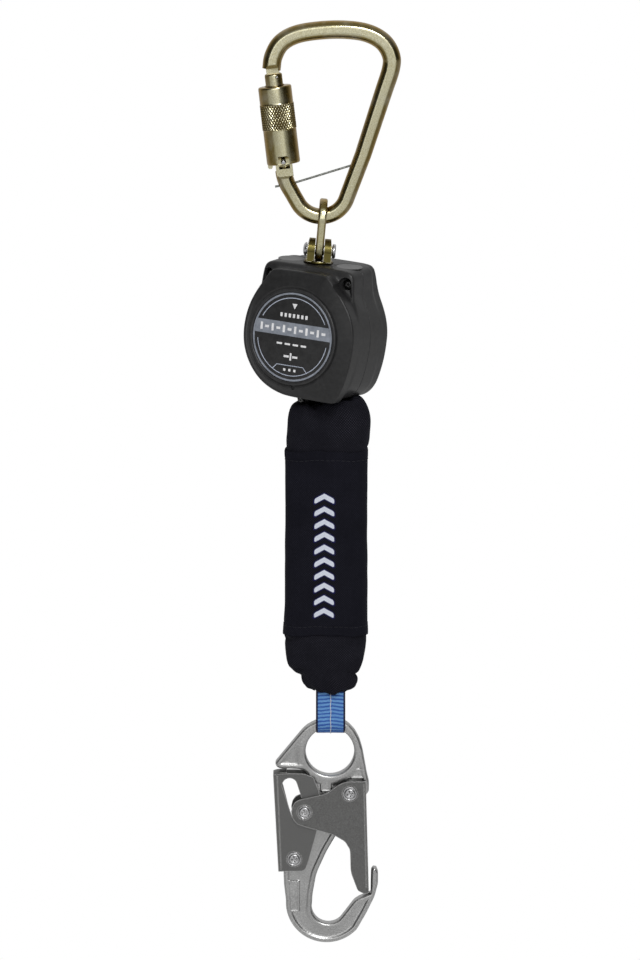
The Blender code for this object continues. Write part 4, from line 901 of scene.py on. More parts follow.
# ================================================================ housing
F = [(39.0, -4.0), (39.2, 4.5), (37.6, 12.5), (34.4, 19.3), (29.8, 25.8), (24.6, 32.0), (19.4, 37.6), (17.0, 38.8), (8.0, 39.1), (0.0, 39.2),
     (-8.0, 39.1), (-17.0, 38.8), (-19.6, 37.2), (-24.0, 30.8), (-28.2, 24.2), (-31.8, 16.8), (-34.0, 8.6), (-34.8, 0.0), (-34.0, -8.0), (-31.4, -15.6),
     (-27.2, -22.4), (-21.4, -28.4), (-14.4, -32.6), (-6.6, -35.2), (0.0, -36.0), (10.0, -36.2), (20.0, -36.4), (28.6, -36.6), (30.8, -35.2), (34.0, -28.0), (36.6, -19.6), (38.2, -11.8)]
M = [(39.0, -4.0), (39.2, 4.5), (37.6, 12.5), (34.8, 20.0), (31.6, 27.3), (30.9, 35.6), (30.0, 39.2), (26.6, 41.8), (12.0, 42.0), (0.0, 42.0),
     (-12.0, 42.0), (-25.6, 41.8), (-29.2, 39.0), (-30.0, 34.6), (-30.6, 26.2), (-32.0, 17.0), (-34.0, 8.6), (-34.8, 0.0), (-34.0, -8.0), (-31.4, -15.6),
     (-27.2, -22.4), (-21.4, -28.4), (-14.4, -32.6), (-6.6, -35.2), (0.0, -36.0), (10.0, -36.2), (17.6, -36.4), (23.8, -36.0), (29.6, -33.6), (34.4, -28.0), (36.8, -20.0), (38.3, -11.7)]
FR = F[:-6] + [(17.6, -36.3), (23.6, -35.8), (29.0, -33.1), (33.4, -27.6), (36.1, -19.7), (38.1, -11.5)]
SCREWS = ((26.4, 34.0), (-25.2, 33.8), (1.0, -39.2))


def ring_round(pts, k=3):
    """Corner cutting that keeps the number of points the same for every outline of the housing."""
    Q = [Vector(p) for p in pts]
    for _ in range(k):
        Q = [v for i in range(len(Q)) for v in (Q[i] * 0.75 + Q[(i + 1) % len(Q)] * 0.25, Q[i] * 0.25 + Q[(i + 1) % len(Q)] * 0.75)]
    return np.array([(p.x, p.y) for p in Q])


Fh, Mh, FRh = ring_round(F), ring_round(M), ring_round(FR)


FRONT_F = Fh


def inset_np(P, d):
    T = np.roll(P, -1, 0) - np.roll(P, 1, 0)
    for _ in range(2):
        T = (T + np.roll(T, 1, 0) + np.roll(T, -1, 0)) / 3
    T /= np.linalg.norm(T, axis=1)[:, None]
    Q = P + np.c_[-T[:, 1], T[:, 0]] * d
    good = np.nonzero(dist_to(Q, [P]) > 0.975 * d)[0] if d > 0.05 else np.arange(len(P))
    n = len(P)
    ext = np.r_[good - n, good, good + n]
    src = np.vstack([Q[good]] * 3)
    k = np.arange(n)
    return np.c_[np.interp(k, ext, src[:, 0]), np.interp(k, ext, src[:, 1])]


# frame of the roof, which climbs gently towards the back
ROOF = Matrix.Translation(Vector((0, 1.5, 42.0 + 3.2 * 15.5 / 38.0))) @ Matrix.Rotation(math.atan(3.2 / 38.0), 4, 'X')


def housing_half(name, s, cad):
    Fh = FRONT_F if s < 0 else FRh * 0.35 + Mh * 0.65
    ang = np.arctan2(Fh[:, 1], Fh[:, 0])
    C = lambda r: np.c_[r * np.cos(ang), r * np.sin(ang)]
    lerp = lambda a, b, t: a * (1 - t) + b * t
    rr = 30.25 if s < 0 else 24.0
    yf = 25.45
    levels = [(C(rr - 3.0), yf if s > 0 else yf - 1.6), (C(rr), yf), (C(rr + 0.35), yf), (lerp(C(rr + 0.35), inset_np(Fh, 2.0), 0.5), yf - 0.9), (inset_np(Fh, 2.0), yf - 2.1), (inset_np(Fh, 1.45), yf - 2.35)]
    # rolled rim, then the flank with its draft
    for a in np.linspace(16, 90, 6):
        t = math.radians(a)
        levels.append((inset_np(Fh, 1.35 * (1 - math.sin(t))), yf - 2.4 - 1.35 * (1 - math.cos(t))))
    for y, m in ((20.4, 0.0), (18.4, 0.0), (16.8, 0.01), (15.7, 0.04), (14.9, 0.13), (14.3, 0.30), (13.8, 0.52), (13.35, 0.72), (12.9, 0.86), (12.35, 0.955), (11.6, 0.99), (10.6, 1.0), (8.0, 1.0), (4.0, 1.0), (1.0, 1.0), (0.42, 1.0)):
        levels.append((lerp(Fh, Mh, m), y))
    levels.append((inset_np(Mh, 0.32), 0.1))
    rings = []
    for P, y in levels:
        lift = 3.2 * min(1.0, max(0.0, (s * y + 14.0) / 38.0))
        rings.append([(p[0], s * y, p[1] + lift * min(1.0, max(0.0, (p[1] - 33.0) / 5.0))) for p in P])
    ob = skin(rings, name=name)
    # low boss round the swivel, and a shallow dish in the roof on either side of it
    boss = turned([(0, 42.55), (8.4, 42.5), (9.3, 42.3), (10.6, 41.7), (12.4, 40.9), (14.6, 40.0), (15.5, 36.0), (0, 36.0)], 'Z', n=96)
    half = prism_x([(s * 0.1, 30), (s * 30, 30), (s * 30, 50), (s * 0.1, 50)], -20, 20)
    m = boss.modifiers.new("h", 'BOOLEAN')
    m.operation, m.solver, m.object = 'INTERSECT', 'EXACT', half
    apply_mods(boss)
    bpy.data.objects.remove(half)
    boole(ob, boss, 'UNION')
    for x in (20.0, -19.0):
        d = turned([(0, 5), (8.3, 5), (8.3, -0.2), (7.9, -0.55), (0, -0.55)], 'Z', n=72)
        d.data.transform(ROOF @ Matrix.Translation(Vector((x, 0, 0))))
        boole(ob, d)
    # foot boss round the third screw
    sx, sz = SCREWS[2]
    foot = turned([(0, 7.3), (2.6, 7.25), (3.4, 6.9), (3.95, 6.2), (4.2, 5.2), (4.2, 0.12), (0, 0.12)], 'Y', (0, 0, 0), 48)
    foot.data.transform(Matrix.Translation(Vector((sx, 0, sz + 0.9))) @ (Matrix.Rotation(math.pi, 4, 'Z') if s < 0 else Matrix.Identity(4)))
    boole(ob, foot, 'UNION')
    W = inset_np(Fh, 2.9)
    for _ in range(5):
        W = (W + np.roll(W, 1, 0) + np.roll(W, -1, 0)) / 3
    well = skin([[(p[0], s * 22.6, p[1]) for p in W], [(p[0], s * -1.0, p[1]) for p in W]])
    boole(ob, well)
    boole(ob, cyl((0, 0, 0), 'Z', 5.5, 30, 50, 48))
    boole(ob, cyl((0, 0, 0), 'Z', 9.0, 41.7, 50, 72))
    boole(ob, prism(fillet([(13.0, -30), (21.6, -30), (20.6, -42), (12.6, -42)], 0.6, 2), -9.6 if s < 0 else -1, 1 if s < 0 else 11.2))
    for k, (x, z) in enumerate(SCREWS):
        boole(ob, cyl((x, 0, z), 'Y', (1.75, 1.75, 1.3)[k] + 0.15, -30, 30, 24))
    for x, z in SCREWS[:2]:
        g = 1 if x > 0 else -1
        if s < 0:
            # thumb scoop: a round pocket that runs out downwards along the flank
            rings = []
            ca, cb, r0 = (np.array([26.2, 34.6]), np.array([31.2, 24.8]), 3.95) if g > 0 else (np.array([-25.6, 34.2]), np.array([-29.4, 25.6]), 3.7)
            for y, k0, tl in ((-26.5, 1.0, 1.0), (-14.4, 1.0, 1.0), (-13.5, 0.97, 0.92), (-12.6, 0.90, 0.78), (-11.9, 0.80, 0.60), (-11.3, 0.62, 0.40)):
                r = r0 * k0
                c0 = ca
                c1 = ca + (cb - ca) * tl
                n = (c1 - c0) / np.linalg.norm(c1 - c0)
                a0 = math.atan2(n[1], n[0])
                r1 = 0.5 * k0
                k = math.acos((r - r1) / np.linalg.norm(c1 - c0))
                ang_a = np.linspace(a0 + k, a0 + 2 * math.pi - k, 34)
                ang_b = np.linspace(a0 - k, a0 + k, 10)
                ring = [(c0[0] + r * math.cos(q), y, c0[1] + r * math.sin(q)) for q in ang_a] + [(c1[0] + r1 * math.cos(q), y, c1[1] + r1 * math.sin(q)) for q in ang_b]
                rings.append(ring)
            boole(ob, skin(rings))
            boole(ob, cyl((x, 0, z), 'Y', 3.35, -13, -8.35, 40))
        else:
            t = turned([(0, 27), (2.3, 27), (2.3, 17.0), (1.9, 16.4), (0, 16.4)], 'Y', n=48)
            t.data.transform(Matrix.Translation(Vector((x - g * 3.4, 0, z - 1.6))))
            boole(ob, t)
    if s < 0:
        # thumb notch at the foot of the cap's groove
        boole(ob, cyl((3.2, 0, -30.1), 'Y', 1.5, -26, -24.2, 32))
    done(ob, HOUSE, PLASTIC, "housing", [cad], smooth=33, bevel=0.28, seg=2, angle=36, weighted=True)
    return ob


housing_half("front_shell", -1, "front_housing")
housing_half("rear_shell", 1, "rear_housing")
# discs in the roof's two dishes, in the lighter plastic that paints their highlight
for nm, x in (("roof_dish_disc_right", 20.0), ("roof_inlay_left", -19.0)):
    disc = turned([(0, -0.32), (5.0, -0.28), (7.2, -0.12), (7.75, -0.10), (7.95, -0.24), (7.95, -0.52), (0, -0.52)], 'Z', n=96)
    disc.data.transform(ROOF @ Matrix.Translation(Vector((x, 0, 0))))
    disc.name = nm
    done(disc, HOUSE, LIT_DISH_PLASTIC, "housing", smooth=50)
cap = turned([(0, -25.02), (26.7, -25.02), (26.85, -25.15), (26.95, -25.5), (27.3, -25.8), (27.8, -25.95), (28.3, -25.9), (28.75, -25.6), (29.0, -25.1), (29.1, -24.7), (29.25, -24.6), (29.45, -24.5), (29.5, -24.4), (0, -24.4)], 'Y', n=160)
cap.name = "front_cap_ring"
done(cap, HOUSE, CAP, "housing", ["front_cap"], smooth=40)
disc = turned([(0, -25.42), (26.2, -25.42), (26.42, -25.36), (26.5, -25.24), (26.5, -25.04), (0, -25.04)], 'Y', n=160)
disc.name = "label_disc"
done(disc, HOUSE, LABEL, "housing", ["front_label"], smooth=50)


# printed graphics on the label: rings, a band and plain bars, 0.05 mm proud; no lettering
def printed(name, polys, mat, y=-25.42, h=0.05):
    bm = bmesh.new()
    for P in polys:
        vs = [bm.verts.new((x, y - h, z)) for x, z in P]
        f = bm.faces.new(vs)
        r = bmesh.ops.extrude_face_region(bm, geom=[f])
        bmesh.ops.translate(bm, verts=[g for g in r["geom"] if isinstance(g, bmesh.types.BMVert)], vec=(0, h + 0.02, 0))
    ob = bm_obj(name, bm)
    return done(ob, HOUSE, mat, "housing", smooth=0, clean=False)


def arc_strip(r0, r1, a0, a1, n=48):
    return [(r1 * math.cos(math.radians(a)), r1 * math.sin(math.radians(a))) for a in np.linspace(a0, a1, n)] + \
           [(r0 * math.cos(math.radians(a)), r0 * math.sin(math.radians(a))) for a in np.linspace(a1, a0, n)]


def bar(x, z, w, h, r=0.3):
    return fillet([(x - w / 2, z - h / 2), (x + w / 2, z - h / 2), (x + w / 2, z + h / 2), (x - w / 2, z + h / 2)], r, 2)


def chord_band(z0, z1, r, n=16):
    a0, a1 = math.degrees(math.asin(z0 / r)), math.degrees(math.asin(z1 / r))
    right = [(r * math.cos(math.radians(a)), r * math.sin(math.radians(a))) for a in np.linspace(a0, a1, n)]
    return right + [(-x, z) for x, z in right[::-1]]


ring_parts = [arc_strip(25.35, 26.4, a, a + 90.0, 32) for a in (0, 90, 180, 270)]
printed("label_print_ring", ring_parts, GREY_INK)
printed("label_print_band", [chord_band(0.3, 8.4, 25.25)], GREY_INK, y=-25.421)
thin = [arc_strip(23.0, 23.45, 26, 154), arc_strip(23.0, 23.45, 188, 352, 64)]
tz = [(-11.6, -19.95), (-8.8, -17.0), (8.8, -17.0), (11.6, -19.95), (11.2, -20.2), (8.6, -17.42), (-8.6, -17.42), (-11.2, -20.2)]
printed("label_print_lines", thin + [tz], PALE_INK, y=-25.423)
white = [bar(x, 4.3, w, h, 0.35) for x, w, h in ((-21.0, 1.5, 4.4), (-17.4, 2.6, 1.5), (-13.6, 1.5, 4.4), (-9.8, 2.6, 1.5), (-6.0, 1.5, 4.4), (-2.2, 2.6, 1.5), (1.6, 1.5, 4.4), (5.4, 2.6, 1.5),
                                                 (9.2, 1.5, 4.4), (13.0, 2.6, 1.5), (16.8, 1.5, 4.4), (20.6, 2.6, 1.5))]
white += [bar(x, 12.6, 1.5, 2.3, 0.25) for x in np.arange(-8.4, 8.5, 2.8)]
white += [[(-1.7, 19.9), (1.7, 19.9), (0.0, 16.6)][::-1]]
white += [bar(x, -4.6, 3.6, 1.15, 0.3) for x in (-8.2, -2.8, 2.6, 8.0)]
white += [bar(x, -11.9, w, 1.3, 0.35) for x, w in ((-2.9, 3.4), (2.9, 3.4))] + [bar(0, -11.9, 1.1, 4.4, 0.3)]
white += [bar(x, -19.9, 1.5, 1.5, 0.6) for x in (-3.4, 0.0, 3.4)]
printed("label_print_white", white, WHITE_INK, y=-25.475, h=0.03)

# screw heads and nuts seen down the scoops
for k, (x, z) in enumerate(SCREWS):
    yh = -8.4 if k < 2 else -7.4
    sr, hr = (1.75, 1.75, 1.3)[k], (3.2, 3.2, 2.4)[k]
    tip = -yh + (3.2 if k < 2 else 2.4)
    nm = ("screw_right_ear", "screw_left_ear", "screw_foot")[k]
    scr = turned(round_profile([(0, yh - 2.2), (0.72 * hr, yh - 2.2), (hr, yh - 1.3), (hr, yh - 0.06), (sr, yh - 0.06), (sr, tip - 0.4), (sr - 0.4, tip), (0, tip)], 0.25), 'Y', (x, 0, z), 40)
    boole(scr, cyl((x, 0, z), 'Y', 1.2 if k < 2 else 0.9, yh - 4, yh - 0.9, 6))
    scr.name = nm + "_finish"
    done(scr, HOUSE, DARK_STEEL, "housing", [nm], smooth=40)
    nt = cyl((x, 0, z), 'Y', hr, -yh + 0.06, -yh + 2.2, 6)
    boole(nt, cyl((x, 0, z), 'Y', sr + 0.1, -2, 30, 32))
    nt.name = ("nut_right_ear", "nut_left_ear", "nut_foot")[k] + "_finish"
    done(nt, HOUSE, DARK_STEEL, "housing", [("nut_right_ear", "nut_left_ear", "nut_foot")[k]], smooth=30, bevel=0.2, angle=30)


# ================================================================ cloth helpers
def grid_obj(name, P, U, V, closed=True):
    """P[row][col] points; U, V the same shape plus one extra column when closed, in metres."""
    R, C = len(P), len(P[0])
    verts = [p for row in P for p in row]
    faces, uv = [], []
    for r in range(R - 1):
        for c in range(C if closed else C - 1):
            d = (c + 1) % C
            faces.append((r * C + c, r * C + d, (r + 1) * C + d, (r + 1) * C + c))
            uv.append(((U[r][c], V[r][c]), (U[r][c + 1], V[r][c + 1]), (U[r + 1][c + 1], V[r + 1][c + 1]), (U[r + 1][c], V[r + 1][c])))
    ob = new_obj(name, verts, faces)
    lay = ob.data.uv_layers.new(name="UVMap")
    k = 0
    for f in uv:
        for q in f:
            lay.data[k].uv = q
            k += 1
    return ob


def station(table, n):
    """Rows of a table of numbers, run through a smooth curve and spaced evenly by the length of the two edges."""
    T = np.array(table, float)
    fine = []
    for i in range(len(T) - 1):
        p0, p1, p2, p3 = T[max(i - 1, 0)], T[i], T[i + 1], T[min(i + 2, len(T) - 1)]
        for k in range(12):
            t = k / 12
            fine.append(0.5 * ((2 * p1) + (p2 - p0) * t + (2 * p0 - 5 * p1 + 4 * p2 - p3) * t * t + (3 * p1 - p0 - 3 * p2 + p3) * t ** 3))
    fine.append(T[-1])
    fine = np.array(fine)
    step = np.linalg.norm(np.diff(fine[:, [0, 1, 3]], axis=0), axis=1)
    L = np.r_[0, np.cumsum(step)]
    t = np.linspace(0, L[-1], n)
    return np.array([[np.interp(x, L, fine[:, j]) for j in range(fine.shape[1])] for x in t])


def pouch_ring(L, R, dep, z, slope, n, e=0.55):
    """Evenly spaced points round a rounded box in plan, starting at the back."""
    cx, w, d = (L + R) / 2, (R - L) / 2, dep / 2
    A = np.linspace(0, 2 * math.pi, 721) + math.pi / 2
    x = cx + w * np.sign(np.cos(A)) * np.abs(np.cos(A)) ** e
    y = d * np.sign(np.sin(A)) * np.abs(np.sin(A)) ** e
    Ls = np.r_[0, np.cumsum(np.hypot(np.diff(x), np.diff(y)))]
    t = np.linspace(0, Ls[-1], n, endpoint=False)
    X, Y_ = np.interp(t, Ls, x), np.interp(t, Ls, y)
    return [(float(a), float(PACK_Y + b), float(z + slope * (a - cx))) for a, b in zip(X, Y_)], Ls[-1]


def cloth_pass(ob, pinned, growth, frames=20, pressure=4.0, cap=1.4):
    """Let a pouch made in mm fill out and buckle: pinned vertices hold still and cloth has growth more length where it is gathered."""
    rest = np.array([v.co for v in ob.data.vertices], float)
    S = 0.012                                    # solve at about the size of a large bag, then scale back
    ob.data.transform(Matrix.Scale(S, 4))
    g = ob.vertex_groups.new(name="pin")
    for i, w in enumerate(pinned):
        if w > 0:
            g.add([i], float(w), 'REPLACE')
    h = ob.vertex_groups.new(name="flat")
    for i, w in enumerate(growth):
        h.add([i], float(1.0 - w), 'REPLACE')
    m = ob.modifiers.new("cloth", 'CLOTH')
    s = m.settings
    s.quality = 6
    s.mass = 0.25
    s.tension_stiffness = s.compression_stiffness = 22
    s.shear_stiffness = 8
    s.bending_stiffness = 0.9
    s.tension_damping = s.compression_damping = 8
    s.vertex_group_mass = "pin"
    s.pin_stiffness = 2.0
    s.use_pressure = True
    s.uniform_pressure_force = pressure
    s.effector_weights.gravity = 0
    s.vertex_group_shrink = "flat"
    s.shrink_min = -0.16
    s.shrink_max = -0.015
    m.collision_settings.use_collision = False
    m.point_cache.frame_start, m.point_cache.frame_end = 1, frames
    scene.frame_start, scene.frame_end = 1, frames
    for f in range(1, frames + 1):
        scene.frame_set(f)
    ev = ob.evaluated_get(bpy.context.evaluated_depsgraph_get())
    got = np.array([v.co for v in ev.data.vertices], float) / S
    scene.frame_set(1)
    ob.modifiers.clear()
    ob.vertex_groups.clear()
    move = got - rest
    size = np.linalg.norm(move, axis=1)
    assert np.isfinite(size).all()
    lim = np.where(size > cap, cap * (1 + 0.25 * np.tanh((size - cap) / cap)) / np.maximum(size, 1e-9), 1.0)
    new = rest + move * lim[:, None]
    ob.data.vertices.foreach_set("co", new.astype(np.float32).ravel())
    ob.data.update()
    return float(size.max()), float(np.median(size))


def along_normals(ob, amount):
    """Push each vertex out by amount[i] mm."""
    N = np.array([v.normal for v in ob.data.vertices])
    co = np.array([v.co for v in ob.data.vertices])
    co = co + N * np.asarray(amount)[:, None]
    ob.data.vertices.foreach_set("co", co.astype(np.float32).ravel())
    ob.data.update()


def outwards(ob):
    """Flip the cloth so its faces look away from the middle of the pouch."""
    s = sum((p.center - Vector((9.0, PACK_Y, p.center.z))).dot(p.normal) for p in ob.data.polygons)
    if s < 0:
        bm = bmesh.new()
        bm.from_mesh(ob.data)
        bmesh.ops.reverse_faces(bm, faces=bm.faces)
        bm.to_mesh(ob.data)
        bm.free()


def cloth_shell(ob, mat, body, reps, thick=0.9, sub=1, fr=WORLD):
    ob.data.materials.clear()
    ob.data.materials.append(mat)
    ob.data.transform(fr @ Matrix.Scale(MM, 4))
    ob.data.shade_smooth()
    if sub:
        m = ob.modifiers.new("sub", 'SUBSURF')
        m.levels = m.render_levels = sub
    m = ob.modifiers.new("cloth_thickness", 'SOLIDIFY')
    m.thickness = thick * MM
    m.offset = -1.0
    m.use_even_offset = False
    apply_mods(ob)
    ob.data.shade_smooth()
    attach(ob, body)
    if reps:
        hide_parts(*reps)
    return ob


def gauss(x, c, w):
    return math.exp(-((x - c) / w) ** 2)


# ================================================================ energy absorber cover: open sleeve gathered at both ends
TAB = [(-1.6, 19.6, 8.0, -42.4, 0.12), (-4.5, 22.2, 13.0, -40.4, 0.12), (-8.2, 25.0, 18.0, -39.7, 0.12), (-11.4, 28.4, 21.6, -40.6, 0.12), (-13.0, 31.0, 23.4, -43.6, 0.10),
       (-13.8, 33.0, 24.6, -47.4, 0.07), (-14.0, 34.4, 25.4, -52.6, 0.02), (-14.0, 33.4, 26.0, -61.0, 0.0), (-14.4, 32.6, 26.2, -69.0, 0.0), (-15.0, 32.2, 26.2, -100.0, 0.0),
       (-15.3, 32.0, 26.2, -150.0, 0.0), (-15.5, 31.8, 26.2, -178.0, 0.0), (-15.3, 31.4, 26.0, -184.0, 0.0), (-15.0, 31.0, 25.6, -192.0, 0.0), (-13.9, 29.8, 24.6, -198.4, 0.0),
       (-10.8, 27.6, 23.0, -202.2, 0.0), (-6.4, 25.3, 21.0, -205.4, 0.0), (-4.9, 25.7, 18.4, -208.6, 0.0), (-3.2, 25.0, 16.2, -211.6, 0.0), (-1.0, 22.2, 14.2, -214.0, 0.0), (1.4, 20.3, 12.8, -215.4, 0.0)]
NC, NR = 120, 132
rows = station(TAB, NR)
P, UU, VV = [], [], []
zv, last = 0.0, None
for r, (a, b, dep, z, sl) in enumerate(rows):
    pts, per = pouch_ring(a, b, dep, z, sl, NC)
    # the hem hangs lowest in the middle
    k = max(0.0, min(1.0, (-208.6 - z) / 7.0))
    pts = [(x, y, q - k * 2.3 * math.exp(-((x - 11.7) / 6.2) ** 2)) for x, y, q in pts]
    P.append(pts)
    step = 0.0 if last is None else math.dist((a, dep / 2, z), last)
    zv -= step
    last = (a, dep / 2, z)
    UU.append([(c / NC - 0.5) * per * MM for c in range(NC + 1)])
    VV.append([zv * MM] * (NC + 1))
# v reads as height on the straight part of the sleeve
shift = (-71.0) * MM - float(np.interp(71.0, -rows[:, 3][np.argmax(-rows[:, 3] > 50):], [VV[i][0] * 1.0 for i in range(np.argmax(-rows[:, 3] > 50), NR)]))
VV = [[v + shift for v in row] for row in VV]
cover = grid_obj("pack_cover_cloth", P, UU, VV)
outwards(cover)
zr = rows[:, 3]
pin, grow = [], []
for r in range(NR):
    z = zr[r]
    top = gauss(r, 0, 9)
    bot = gauss(r, NR - 1, 15)
    held = 1.0 if (r < 2 or r > NR - 3 or -176 < z < -74) else max(0.0, 1 - abs(z + 74) / 4.0 if z > -74 else 1 - abs(z + 176) / 4.0)
    for c in range(NC):
        pin.append(held)
        grow.append(min(1.0, 1.25 * max(top, bot)))
print("cloth pass, largest and middle movement in mm:", cloth_pass(cover, pin, grow))
# folds: gathers run down from the mouth, a tuck under the left shoulder, a dent in the middle and gathers above the hem
disp = []
for v in cover.data.vertices:
    x, y, z = v.co
    ang = math.atan2(y - PACK_Y, (x - 9.0) * 0.6)
    top = max(0.0, min(1.0, (z + 60.0) / 14.0))
    bot = max(0.0, min(1.0, (-194.0 - z) / 12.0))
    d = 0.60 * top * math.sin(ang * 11 + 1.6 * noise.noise(Vector((x, y, z)) * 0.10))
    d += 0.62 * bot * math.sin(ang * 9 + 0.7 + 2.2 * noise.noise(Vector((x, y, z)) * 0.09))
    if y < PACK_Y:
        d += 0.75 * gauss(z + 0.10 * (x - 2), -50.9, 2.3) * max(0.0, 1 - abs(x + 2) / 13.0)
        d -= 0.95 * gauss(z + 0.06 * (x - 2), -46.6, 2.4) * max(0.0, 1 - abs(x + 2) / 13.0)
        d -= 0.95 * gauss(x + 0.25 * (z + 50), 15.0, 3.0) * gauss(z, -49.4, 6.5)
        d += 0.65 * gauss(x + 0.25 * (z + 50), 20.5, 2.6) * gauss(z, -51.4, 7.5)
        d -= 0.70 * gauss(z - 0.55 * (x - 27), -59.0, 2.2) * max(0.0, 1 - abs(x - 25) / 9.0)
        d += 0.55 * gauss(z - 0.55 * (x - 27), -54.5, 2.6) * max(0.0, 1 - abs(x - 25) / 10.0)
        d += 0.45 * gauss(z - 0.8 * abs(x - 10.5), -209.0, 2.2) * max(0.0, 1 - abs(x - 10.5) / 12.0)
    d += 0.38 * noise.noise(Vector((x * 0.07, y * 0.07, z * 0.055)))
    if -176 < z < -73:
        d = min(d, 0.1)
    disp.append(d * (0.15 if -175 < z < -75 else 1.0))
along_normals(cover, disp)
cloth_shell(cover, COVER, "pack", ["pack_cover"], thick=0.85)

# ---- wrap: a separate band round the cover, hemmed at both ends
WT = [(-16.3, 33.3, 28.8, -68.6), (-16.2, 33.2, 29.0, -90.0), (-16.1, 33.0, 29.1, -128.0), (-16.5, 33.1, 29.1, -160.0), (-17.1, 33.3, 28.9, -174.0), (-17.5, 33.5, 28.7, -180.2)]
NW, MW = 132, 110
wr = station([(*a, 0.0) for a in WT], MW)
P, UU, VV = [], [], []
for (a, b, dep, z, _) in wr:
    pts, per = pouch_ring(a, b, dep, z, 0.0, NW)
    out = []
    for x, y, q in pts:
        f = gauss(z, -68.6, 9) + gauss(z, -180.2, 9)
        q += f * (0.45 * math.sin(x * 0.16 + 0.6) + 0.25 * math.sin(x * 0.41 + y * 0.3))
        out.append((x, y, q))
    P.append(out)
    UU.append([(c / NW - 0.5) * per * MM for c in range(NW + 1)])
    VV.append([z * MM] * (NW + 1))
wrap = grid_obj("pack_wrap_cloth", P, UU, VV)
outwards(wrap)
disp = []
for v in wrap.data.vertices:
    x, y, z = v.co
    d = 0.42 * noise.noise(Vector((x * 0.045, y * 0.06, z * 0.028))) + 0.16 * noise.noise(Vector((x * 0.16, y * 0.16, z * 0.10)))
    for e in (-68.6, -180.2):
        t = abs(z - e)
        # rolled hem 5 mm deep with a stitched line above it
        d += 0.20 * (1 - min(1.0, max(0.0, t - 4.4) / 0.9)) - 0.28 * gauss(t, 5.4, 0.55)
    if y > 6:
        # the band closes behind: one edge laps over the other
        d += 0.55 * max(0.0, min(1.0, (x - 3.0) / 0.8)) * max(0.0, min(1.0, (31.0 - x) / 6.0))
    disp.append(d)
along_normals(wrap, disp)
cloth_shell(wrap, WRAP, "pack", ["pack_wrap"], thick=1.0)


# ================================================================ webbing helpers
def web_strip(name, line, width, thick, mat, body, reps, rib=0.0, pitch=2.2, across=24, fr=WORLD, u_axis=None, v0=0.0, closed=False, bend=0.86, blend=None):
    """Flat webbing along line [(point, across direction)], with ribs across its faces, rounded selvedges and UVs in metres."""
    n = len(line)
    pts = [Vector(p) for p, _ in line]
    s = [0.0]
    for i in range(1, n):
        s.append(s[-1] + (pts[i] - pts[i - 1]).length)
    us = [(k / across - 0.5) * width for k in range(across + 1)]
    rings, U, V = [], [], []
    for i in range(n):
        t = (pts[min(i + 1, n - 1)] - pts[max(i - 1, 0)]).normalized()
        a = Vector(line[i][1])
        a = (a - t * a.dot(t)).normalized()
        nn = a.cross(t).normalized()
        ring, ru = [], []
        v = v0 - s[i]
        for side in (1, -1):
            for k in (range(across + 1) if side == 1 else range(across, -1, -1)):
                u = us[k]
                edge = max(0.0, (abs(u) - (width / 2 - 0.9)) / 0.9)
                h = thick / 2 * math.sqrt(max(0.02, 1 - edge ** 2.6))
                if rib:
                    h += rib * (1 - edge) * math.sin((v - (0.5 * width - abs(u)) * 0.1 * (bend / 0.86)) * 2 * math.pi / pitch)
                    h += rib * 0.8 * edge * math.sin(v * 2 * math.pi / (pitch * 0.5))
                ring.append(pts[i] + a * u + nn * side * h)
                ru.append(u * MM)
        rings.append(ring)
        U.append(ru + [ru[0]])
        V.append([v * MM] * (len(ru) + 1))
    C = len(rings[0])
    verts = [p for r in rings for p in r]
    faces, uv = [], []
    for r in range(n - 1):
        for c in range(C):
            d = (c + 1) % C
            faces.append((r * C + c, (r + 1) * C + c, (r + 1) * C + d, r * C + d))
            uv += [(U[r][c], V[r][c]), (U[r + 1][c], V[r + 1][c]), (U[r + 1][c + 1], V[r + 1][c + 1]), (U[r][c + 1], V[r][c + 1])]
    for r, flip in ((0, False), (n - 1, True)):
        # end caps as a strip of quads between the two faces
        for k in range(across):
            q = (r * C + k, r * C + k + 1, r * C + C - 2 - k, r * C + C - 1 - k)
            faces.append(q[::-1] if flip else q)
            uv += [(0, 0)] * 4
    ob = new_obj(name, verts, faces)
    lay = ob.data.uv_layers.new(name="UVMap")
    for k, q in enumerate(uv):
        lay.data[k].uv = q
    bm = bmesh.new()
    bm.from_mesh(ob.data)
    bmesh.ops.recalc_face_normals(bm, faces=bm.faces)
    bm.to_mesh(ob.data)
    bm.free()
    ob.data.transform(fr @ Matrix.Scale(MM, 4))
    ob.data.materials.append(mat)
    ob.data.shade_smooth()
    ob.data.set_sharp_from_angle(angle=math.radians(62))
    if blend:
        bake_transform(ob)
    else:
        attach(ob, body)
    if reps:
        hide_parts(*reps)
    return ob


# ---- blue loop round the hook's eye
RC = 6.75
loop = [(-3.0, -202.0)] + [(-3.0 - 0.7 * t, -202.0 - 17.0 * t) for t in np.linspace(0.05, 1, 40)]
arc = [(RC * math.cos(math.radians(q)), LOOP_Z + RC * math.sin(math.radians(q))) for q in np.linspace(160, 380, 110)]
leg = lambda p, q, n: [(p[0] + (q[0] - p[0]) * t, p[1] + (q[1] - p[1]) * t) for t in np.linspace(0, 1, n)[1:-1]]
loop = loop + leg(loop[-1], arc[0], 30) + arc
loop = loop + leg(arc[-1], (3.7, -219.0), 30) + [(3.7 - 0.7 * t, -219.0 + 17.0 * t) for t in np.linspace(0, 1, 40)]
raw = np.array(loop)
for _ in range(6):
    raw[1:-1] = raw[1:-1] * 0.5 + (raw[:-2] + raw[2:]) * 0.25
Ls = np.r_[0, np.cumsum(np.hypot(*np.diff(raw, axis=0).T))]
tt = np.linspace(0, Ls[-1], int(Ls[-1] / 0.26))
raw = np.c_[np.interp(tt, Ls, raw[:, 0]), np.interp(tt, Ls, raw[:, 1])]
LX = 11.1
